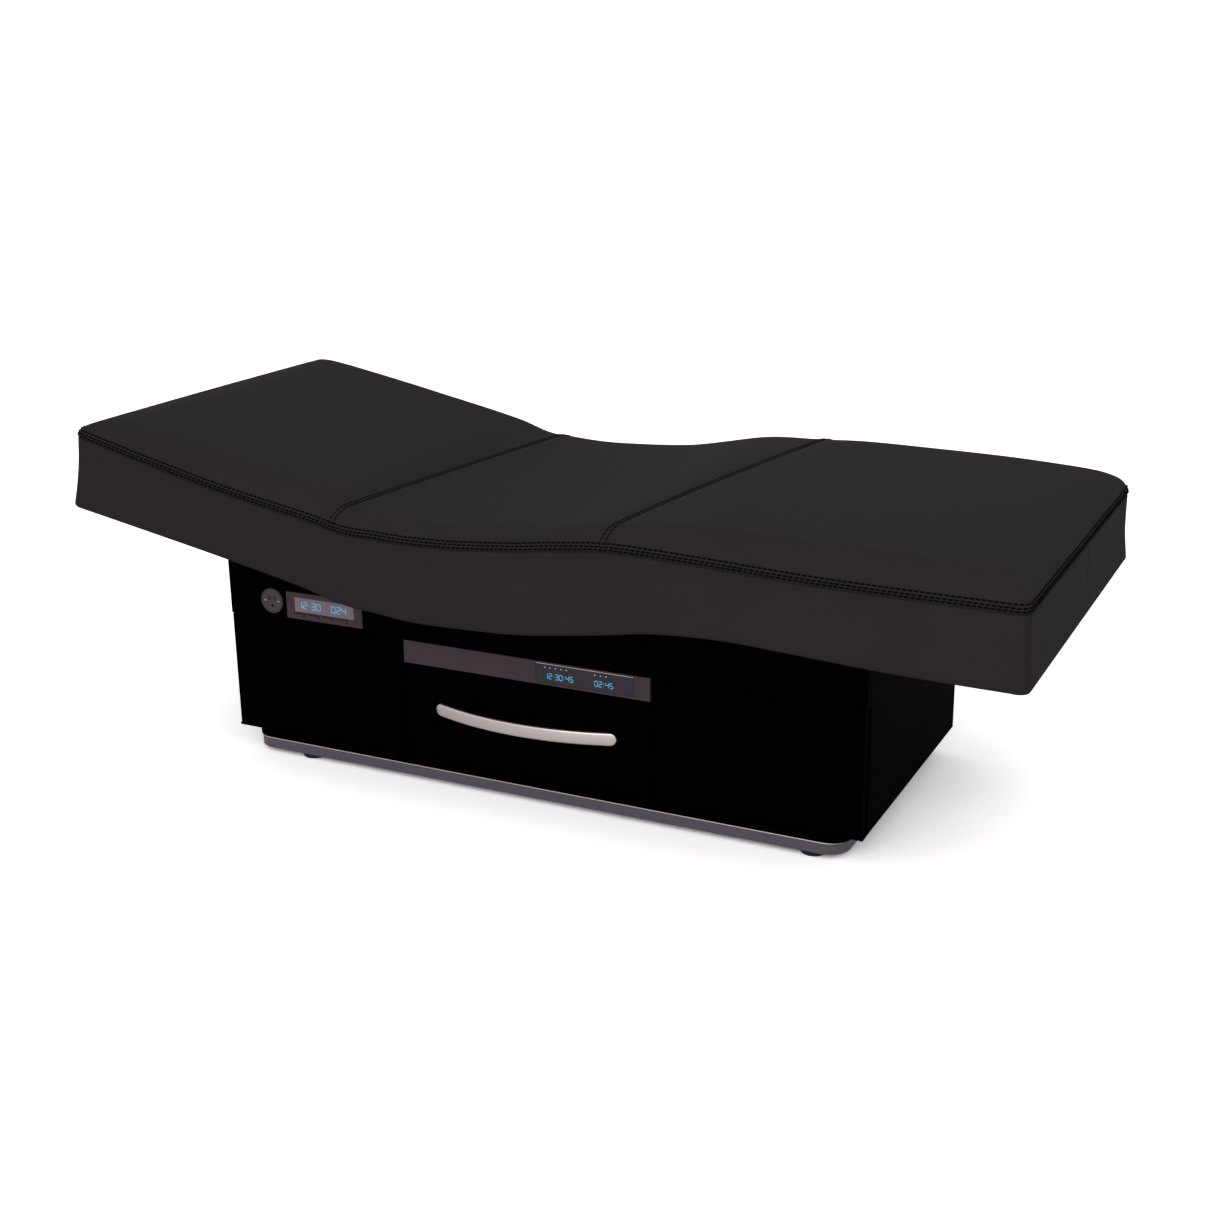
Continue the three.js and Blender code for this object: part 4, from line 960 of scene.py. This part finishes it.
def band_rings(x, y):
    """Rings of the band, the hem and the inner face, each as an inset and a height along the outline."""
    seam, skirt = line_at("seam", x), line_at("skirt", x)
    at_foot = smooth_step(x, FOOT - END_SEAM_FADE, FOOT)
    end_seam = END_SEAM_DEPTH * np.exp(-((y - END_SEAM_Y) / END_SEAM_DEPTH) ** 2) * at_foot
    flare = FOOT_FLARE * np.maximum(outline_normals(x, y)[0], 0)
    rings = [(inset * SEAM_DEPTH, seam + rise * SEAM_HALF) for inset, rise in SEAM_GROOVE]
    top, bottom = seam - SEAM_HALF, skirt + HEM_OUTER
    for share in BAND_SHARES:
        bow = math.sin(math.pi * share)
        slack = ripples(x, y, share * 2, SLACK_LENGTH) * SLACK_DEPTH * bow
        rings.append((DRAW_IN * bow + end_seam + slack - flare * share, top + (bottom - top) * share))
    for turn in (0.3, 0.6, 0.85, 1):
        angle = turn * math.pi / 2
        rings.append((HEM_OUTER * (1 - math.cos(angle)) - flare, skirt + HEM_OUTER * (1 - math.sin(angle))))
    for turn in (0, 0.35, 0.7, 1):
        angle = turn * math.pi / 2
        inset = WALL - HEM_INNER * (1 - math.sin(angle)) - flare
        rings.append((inset, skirt + HEM_INNER * (1 - math.cos(angle))))
    low = skirt + HEM_INNER
    rings.append((WALL - flare / 2, low + (ceiling_height(x) - low) / 2))
    return rings


def pad_mesh():
    """Points and faces of the whole pad in its flat state."""
    u, v = np.meshgrid(along, across, indexing="ij")
    rows, columns = u.shape
    x, y = plan(u, v)
    top = np.stack([x, y, cover_height(x, y)], -1).reshape(-1, 3)
    inner_x, inner_y = plan(u, v, WALL, INNER_CORNER)
    under = np.stack([inner_x, inner_y, ceiling_height(inner_x)], -1).reshape(-1, 3)
    place = np.arange(rows * columns).reshape(rows, columns)
    rim = np.concatenate([place[:-1, 0], place[-1, :-1], place[:0:-1, -1], place[0, :0:-1]])
    inward = under[rim, :2] - top[rim, :2]
    points, loops = [top], [rim]
    count = len(top)
    for inset, z in band_rings(top[rim, 0], top[rim, 1]):
        share = np.broadcast_to(inset / WALL, z.shape)[:, None]
        points.append(np.column_stack([top[rim, :2] + inward * share, z]))
        loops.append(count + np.arange(len(rim)))
        count += len(rim)
    points.append(under)
    loops.append(count + rim)
    net = net_faces(rows, columns)
    faces = [net, net[:, ::-1] + count]
    for upper, lower in zip(loops, loops[1:]):
        faces.append(np.stack([upper, lower, np.roll(lower, -1), np.roll(upper, -1)], 1))
    return np.concatenate(points), np.concatenate(faces)


def split_shell(points, faces, from_head):
    """Points and faces of one half of the pad, open at the cut across the seat."""
    middle = points[faces].mean(1)[:, 0]
    kept = faces[middle < SPLIT] if from_head else faces[middle > SPLIT]
    used, renumbered = np.unique(kept, return_inverse=True)
    return points[used], renumbered.reshape(kept.shape)


def black_vinyl_cover():
    """Calendered upholstery vinyl: near black and warm, a low sheen, a fine pebble grain."""
    finish, tree, place = new_finish("black_upholstery_vinyl")
    broad = mottle(tree, place, 160 * MM, detail=3)
    pores = mottle(tree, place, 1.1 * MM, detail=3)
    pebble = put(tree, "TexVoronoi", {
        "Vector": place, "Scale": 1 / (2.6 * MM),
    }, feature="SMOOTH_F1")
    grain = put(tree, "Math", {0: pebble.outputs["Distance"], 1: pores}, operation="ADD")
    return close_finish(finish, {
        "Base Color": tones(tree, broad, "#292526", "#2e2a2b"),
        "Roughness": between(tree, broad, 0.68, 0.78), "Specular IOR Level": 0.01,
        "Normal": relief(tree, grain.outputs["Value"], strength=0.18, distance=0.25 * MM),
    })


vinyl = black_vinyl_cover()
pad_points, pad_faces = pad_mesh()
STANDS_FOR = {
    "head": ("back_cushion", "back_flex_foam", "seat_cushion"),
    "foot": ("leg_flex_foam", "leg_cushion"),
}


def close_cut(piece):
    """Closes the open end of a half with a face of its own, so that the cover's shading runs on."""
    shell = bmesh.new()
    shell.from_mesh(piece.data)
    rim = [edge for edge in shell.edges if edge.is_boundary]
    lid = bmesh.ops.contextual_create(shell, geom=rim)["faces"]
    bmesh.ops.recalc_face_normals(shell, faces=shell.faces)
    for face in lid:
        for edge in face.edges:
            edge.smooth = False
    shell.to_mesh(piece.data)
    shell.free()


for end in ("head", "foot"):
    half, kept = split_shell(pad_points, pad_faces, end == "head")
    pad = mesh_piece(f"pad_{end}", bend(half), kept, vinyl, None, "black_vinyl")
    close_cut(pad)
    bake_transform(pad)
    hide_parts(*STANDS_FOR[end])


# Stitching of the cover: heavy bonded thread, darker than the vinyl. Three rows follow the outline
# above the seam, and one finer row lies on each side of every cross seam.
ROW_OFFSETS = (0.8 * MM, 6.9 * MM, 13 * MM)
THREAD_RADIUS = 1.5 * MM
CROSS_THREAD_RADIUS = 1.05 * MM
STITCH = 8.2 * MM
STITCH_PITCH = 9.5 * MM
CROSS_ROW_OFFSET = 5.2 * MM
THREAD_SIDES = 6
PATH_STEP = 1.5 * MM
DROP_STEPS = np.arange(0, 30, 0.5) * MM
# Sections of a stitch, each: share of its length, then lift and radius in radii of the thread
STITCH_PROFILE = ((0, -0.6, 0.5), (0.12, 0.3, 0.95), (0.5, 0.6, 1), (0.88, 0.3, 0.95), (1, -0.6, 0.5))


def thread_finish():
    """Bonded polyester thread: dull black with the slant of its plies."""
    finish, tree, place = new_finish("bonded_polyester_thread")
    plies = put(tree, "TexWave", {
        "Vector": place, "Scale": 1 / (2 * MM), "Distortion": 1,
    }, bands_direction="DIAGONAL")
    return close_finish(finish, {
        "Base Color": tones(tree, plies.outputs["Fac"], "#030303", "#090808"),
        "Roughness": 0.8, "Specular IOR Level": 0.02,
    })


def outline_path():
    """Close points round the outline of the top, seen from above."""
    u = np.arange(HEAD, FOOT, PATH_STEP)
    v = np.arange(-HALF, HALF, PATH_STEP)
    front = np.stack([u, np.full(len(u), -HALF)], 1)
    foot = np.stack([np.full(len(v), FOOT), v], 1)
    ring = np.concatenate([front, foot, -front + [HEAD + FOOT, 0], -foot + [HEAD + FOOT, 0]])
    return np.stack(plan(*ring.T), 1)


def drop_in(path, offset):
    """The outline moved in until it lies a given way up over the shoulder, seen from above."""
    nx, ny = outline_normals(*path.T)
    z = top_height(path[:, :1] - nx[:, None] * DROP_STEPS, path[:, 1:] - ny[:, None] * DROP_STEPS)
    run = np.cumsum(np.hypot(np.diff(DROP_STEPS), np.diff(z, axis=1)), 1)
    run = np.concatenate([np.zeros((len(path), 1)), run], 1)
    depth = np.array([np.interp(offset, line, DROP_STEPS) for line in run])
    return np.stack([path[:, 0] - nx * depth, path[:, 1] - ny * depth], 1)


def on_cover(path):
    """Points on the finished cover and its normals there."""
    x, y = path.T
    z = cover_height(x, y)
    small = 0.5 * MM
    slope_x = (cover_height(x + small, y) - cover_height(x - small, y)) / (2 * small)
    slope_y = (cover_height(x, y + small) - cover_height(x, y - small)) / (2 * small)
    normals = np.stack([-slope_x, -slope_y, np.ones(len(x))], 1)
    return np.stack([x, y, z], 1), normals / np.linalg.norm(normals, axis=1)[:, None]


def stitch_row(path, closed, radius):
    """Single stitches along a path, each as the rings of a short bar whose ends sink into the cover."""
    points, normals = on_cover(path)
    shares, lifts, widths = np.array(STITCH_PROFILE).T
    run = np.concatenate([[0], np.cumsum(np.linalg.norm(np.diff(points, axis=0), axis=1))])
    count = int(run[-1] // STITCH_PITCH)
    pitch = run[-1] / count if closed else STITCH_PITCH
    made = []
    for stitch in range(count):
        places = stitch * pitch + (pitch - STITCH) / 2 + STITCH * shares
        up = np.stack([np.interp(places, run, axis) for axis in normals.T], 1)
        centre = np.stack([np.interp(places, run, axis) for axis in points.T], 1)
        centre = centre + up * (lifts * radius)[:, None]
        way = centre[-1] - centre[0]
        way /= np.linalg.norm(way)
        rings = []
        for point, rise, width in zip(centre, up, widths * radius):
            side = np.cross(way, rise)
            side /= np.linalg.norm(side)
            rings.append([point + width * (side * a + rise * b) for a, b in circle(1, THREAD_SIDES)[::-1]])
        made.append(rings)
    return made


def all_stitches():
    """Every stitch of the cover in its flat state, as the points of its rings."""
    outline = outline_path()
    made = []
    for offset in ROW_OFFSETS:
        made += stitch_row(drop_in(outline, offset), True, THREAD_RADIUS)
    reach = np.arange(-HALF + PATH_STEP, HALF - PATH_STEP, PATH_STEP)
    for seam in HINGE_PLACES:
        for side in (-1, 1):
            row = np.full(len(reach), seam + side * CROSS_ROW_OFFSET)
            path = np.stack([row + slant(row, reach), reach], 1)
            made += stitch_row(path, False, CROSS_THREAD_RADIUS)
    return np.array(made)


thread = thread_finish()
stitches = all_stitches()
middles = stitches.mean((1, 2))[:, 0]
for end, chosen in (("head", stitches[middles < SPLIT]), ("foot", stitches[middles >= SPLIT])):
    points, faces = joined(loft(stitch) for stitch in chosen)
    row = mesh_piece(f"stitching_{end}", bend(points), faces, thread, None, "black_vinyl")
    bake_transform(row)


# The studio: a white floor that keeps a soft shadow, an even white sky and two soft lamps.
# Floor and sky are brighter to the camera than to the object, so that black finishes stay black.
FLOOR_HALF = 40
FLOOR_PAINT = 0.68
FLOOR_IN_METAL = 0.95
FLOOR_WHITE = 1.95
SKY_LIGHT = 0.72
LAMP_AIM = Vector((0, 0, 0.4))


def by_ray(tree, plain, mirrored, seen):
    """One value for light that spreads, one for shiny or clear surfaces and one for the camera."""
    ray = put(tree, "LightPath").outputs
    shiny = put(tree, "Math", {
        0: ray["Is Glossy Ray"], 1: ray["Is Transmission Ray"],
    }, operation="MAXIMUM")
    indoors = between(tree, shiny.outputs["Value"], plain, mirrored)
    return between(tree, ray["Is Camera Ray"], indoors, seen)


def white_floor():
    """A painted white studio floor."""
    finish, tree, place = new_finish("white_studio_floor")
    white = by_ray(tree, FLOOR_PAINT, FLOOR_IN_METAL, FLOOR_WHITE)
    paint = put(tree, "BsdfDiffuse", {"Color": white})
    put(tree, "OutputMaterial", {"Surface": paint.outputs["BSDF"]})
    return finish


corners = [(x * FLOOR_HALF, y * FLOOR_HALF, 0) for x, y in ((-1, -1), (1, -1), (1, 1), (-1, 1))]
floor = new_object("floor", corners, [(0, 1, 2, 3)])
floor.data.materials.append(white_floor())

world = bpy.data.worlds.new("white_sky")
bpy.context.scene.world = world
world.use_nodes = True
world.node_tree.nodes.clear()
sky_strength = by_ray(world.node_tree, SKY_LIGHT, 1.0, 1.0)
sky = put(world.node_tree, "Background", {"Color": (1, 1, 1, 1), "Strength": sky_strength})
put(world.node_tree, "OutputWorld", {"Surface": sky.outputs["Background"]})

# Lamps, each: name, place, size across and watts
LAMPS = (
    ("key_lamp", (0.9, -4.6, 2.0), 4.4, 85),
    ("fill_lamp", (3.4, -1.2, 2.6), 2.2, 6),
)
for name, place, size, power in LAMPS:
    lamp = bpy.data.lights.new(name, "AREA")
    lamp.shape = "DISK"
    lamp.size = size
    lamp.energy = power
    holder = bpy.data.objects.new(name, lamp)
    holder.location = place
    holder.rotation_euler = (LAMP_AIM - Vector(place)).to_track_quat("-Z", "Y").to_euler()
    bpy.context.scene.collection.objects.link(holder)


# The camera of the photograph, fitted to the straight edges of the cabinet, the top and the plinth:
# its place in metres, its turns in radians and its lens in millimetres.
CAMERA_PLACE = Vector((1.4413, -2.8967, 1.3530))
CAMERA_YAW = -0.456564
CAMERA_PITCH = 0.315346
CAMERA_ROLL = -0.0118417
CAMERA_LENS = 51.88

forward = Vector((math.sin(CAMERA_YAW) * math.cos(CAMERA_PITCH),
                  math.cos(CAMERA_YAW) * math.cos(CAMERA_PITCH), -math.sin(CAMERA_PITCH)))
level = Vector((math.cos(CAMERA_YAW), -math.sin(CAMERA_YAW), 0))
upward = level.cross(forward)
right = level * math.cos(CAMERA_ROLL) + upward * math.sin(CAMERA_ROLL)
top_way = -level * math.sin(CAMERA_ROLL) + upward * math.cos(CAMERA_ROLL)
lens = bpy.data.cameras.new("photo_camera")
lens.lens = CAMERA_LENS
lens.sensor_width = 36
camera = bpy.data.objects.new("photo_camera", lens)
turned = Matrix((right, top_way, -forward)).transposed().to_4x4()
camera.matrix_world = Matrix.Translation(CAMERA_PLACE) @ turned
bpy.context.scene.collection.objects.link(camera)
bpy.context.scene.camera = camera
bpy.context.scene.view_settings.view_transform = "Standard"
